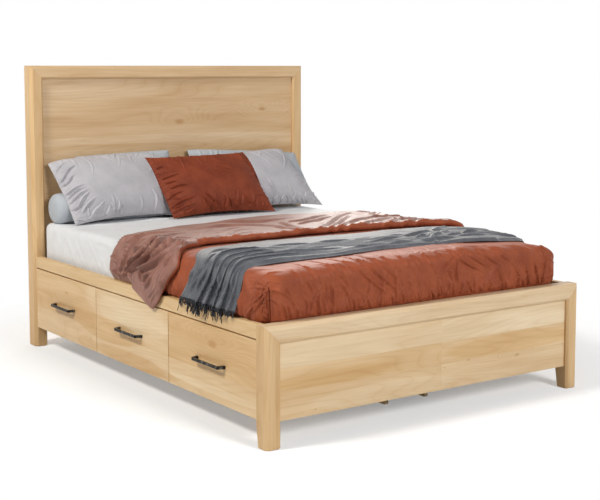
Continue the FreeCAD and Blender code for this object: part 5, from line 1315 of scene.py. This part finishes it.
RUST_CREASES = [
    (11, 4.5, 0.6, 0.1, 208.4, 156.8, 221.6, 163.4, 234.7, 164.7),
    (11, 4.5, 0.3, 0.1, 213.7, 162.1, 224.2, 168.7, 237.4, 170),
    (11, 4, 0.3, 0.1, 205.8, 167.4, 218.9, 171.3, 229.5, 172.6),
    (9, 6, 0.9, 0.1, 151.8, 173.9, 157.1, 168.7, 163.7, 166.1),
    (9, 6, 0.9, 0.1, 155.8, 183.2, 162.4, 179.2, 172.9, 175.3, 179.5, 173.3),
    (8, 6, 0.9, 0.1, 159.7, 188.4, 166.3, 183.2, 176.8, 180.5),
    (9, 6.5, 0.9, 0.1, 163.7, 195, 170.3, 188.4, 179.5, 184.5, 190, 184.5),
    (8, 6, 0.9, 0.1, 167.6, 200.3, 174.2, 193.7, 183.4, 191.1),
    (9, 7, 0.9, 0.1, 171.6, 208.2, 179.5, 201.6, 188.7, 197.6, 195.3, 196.3),
    (8, 6.5, 0.9, 0.1, 172.9, 213.4, 183.4, 206.8, 195.3, 202.9),
    (8, 6.5, 0.9, 0.1, 175.5, 218.7, 186.1, 212.1, 195.3, 208.2),
    (8, 8, 0.2, 0.9, 200.5, 192.4, 207.1, 200.3, 212.4, 210.8),
    (8, 8, 0.2, 0.9, 204.5, 191.1, 213.7, 200.3, 213.7, 213.4),
    (7, 6.5, 0.2, 0.9, 209.7, 195, 216.3, 202.9, 215, 210.8),
    (8, 8, 0.9, 0.1, 224.2, 210.8, 228.2, 200.3, 226.8, 193.7),
    (7, 6.5, 0.9, 0.1, 232.1, 209.5, 230.8, 200.3, 229.5, 195),
    (7, 6, 0.9, 0.1, 237.4, 208.2, 237.4, 200.3, 234.7, 195),
    (8, 8, 0.9, 0.1, 246.6, 210.8, 250.5, 202.9, 246.6, 195, 243.9, 192.4),
    (7, 7, 0.9, 0.1, 242.6, 210.8, 241.3, 202.9, 243.9, 195),
    (7, 6.5, 0.9, 0.1, 253.2, 209.5, 257.1, 204.2, 258.4, 198.9),
    (7, 6, 0.9, 0.1, 258.4, 210.8, 262.4, 205.5, 263, 202.9),
    (7, 6, 0.9, 0.1, 266.3, 210.8, 267.6, 205.5, 266.3, 201.6),
]
LOW = SHEET_TOP + 3.4  # the height of the lower seams
pillow("pillow_left_rear", "pillow_left_back", pale_grey_cotton,
       [(-640, 850, LOW), (-60, 850, LOW), (-600, 1008, 957), (-58, 1008, 972)], 118, 6, [], 51)
pillow("pillow_right_rear", "pillow_right_back", pale_grey_cotton,
       [(75, 862, LOW), (835, 905, 668), (57, 1008, 968), (755, 1000, 926)], 118, 14, [], 52)
pillow("pillow_left_fore", "pillow_left_front", grey_cotton,
       [(-697, 801, LOW), (-62, 872, LOW), (-751, 1000, 929), (-140, 985, 944)], 150, 46, LEFT_CREASES, 53)
pillow("pillow_right_fore", "pillow_right_front", grey_cotton,
       [(240, 850, LOW), (847, 849, LOW), (232, 975, 920), (656, 985, 950)], 150, 30, RIGHT_CREASES, 54)
pillow("rust_cushion_stuffed", "rust_cushion", cushion_cotton,
       [(-167, 761, LOW), (455, 748, LOW), (-230, 955, 942), (379, 955, 948)], 140, -14, RUST_CREASES, 55,
       crease=1.2)

# Floor


def studio_floor():
    """A pale floor that keeps the bed's soft shadow and fades to the white background away from it."""
    material, tree = new_material("pale_studio_floor")
    paint = add(tree, "BsdfDiffuse", {"Color": linear("F6F6F6"), "Roughness": 1.0})
    glow = add(tree, "Emission", {"Color": (1, 1, 1, 1), "Strength": 1.0})
    place = add(tree, "TexCoord").outputs["Object"]
    away = add(tree, "VectorMath", {0: place}, operation="LENGTH")
    fade = add(tree, "MapRange", {"Value": away, "From Min": 1.1, "From Max": 2.4, "To Min": 0.30,
                                  "To Max": 1.0}, interpolation_type="SMOOTHSTEP")
    share = add(tree, "Math", {0: seen_share(tree), 1: fade}, operation="MULTIPLY")
    mixed = add(tree, "MixShader", {0: share, 1: paint, 2: glow})
    add(tree, "OutputMaterial", {"Surface": mixed})
    size = 30000.0
    corners = [(-size, -size, 0), (size, -size, 0), (size, size, 0), (-size, size, 0)]
    floor = build_mesh("studio_floor", corners, [(0, 1, 2, 3)])
    floor.data.materials.append(material)


studio_floor()
scene.view_settings.view_transform = "Standard"
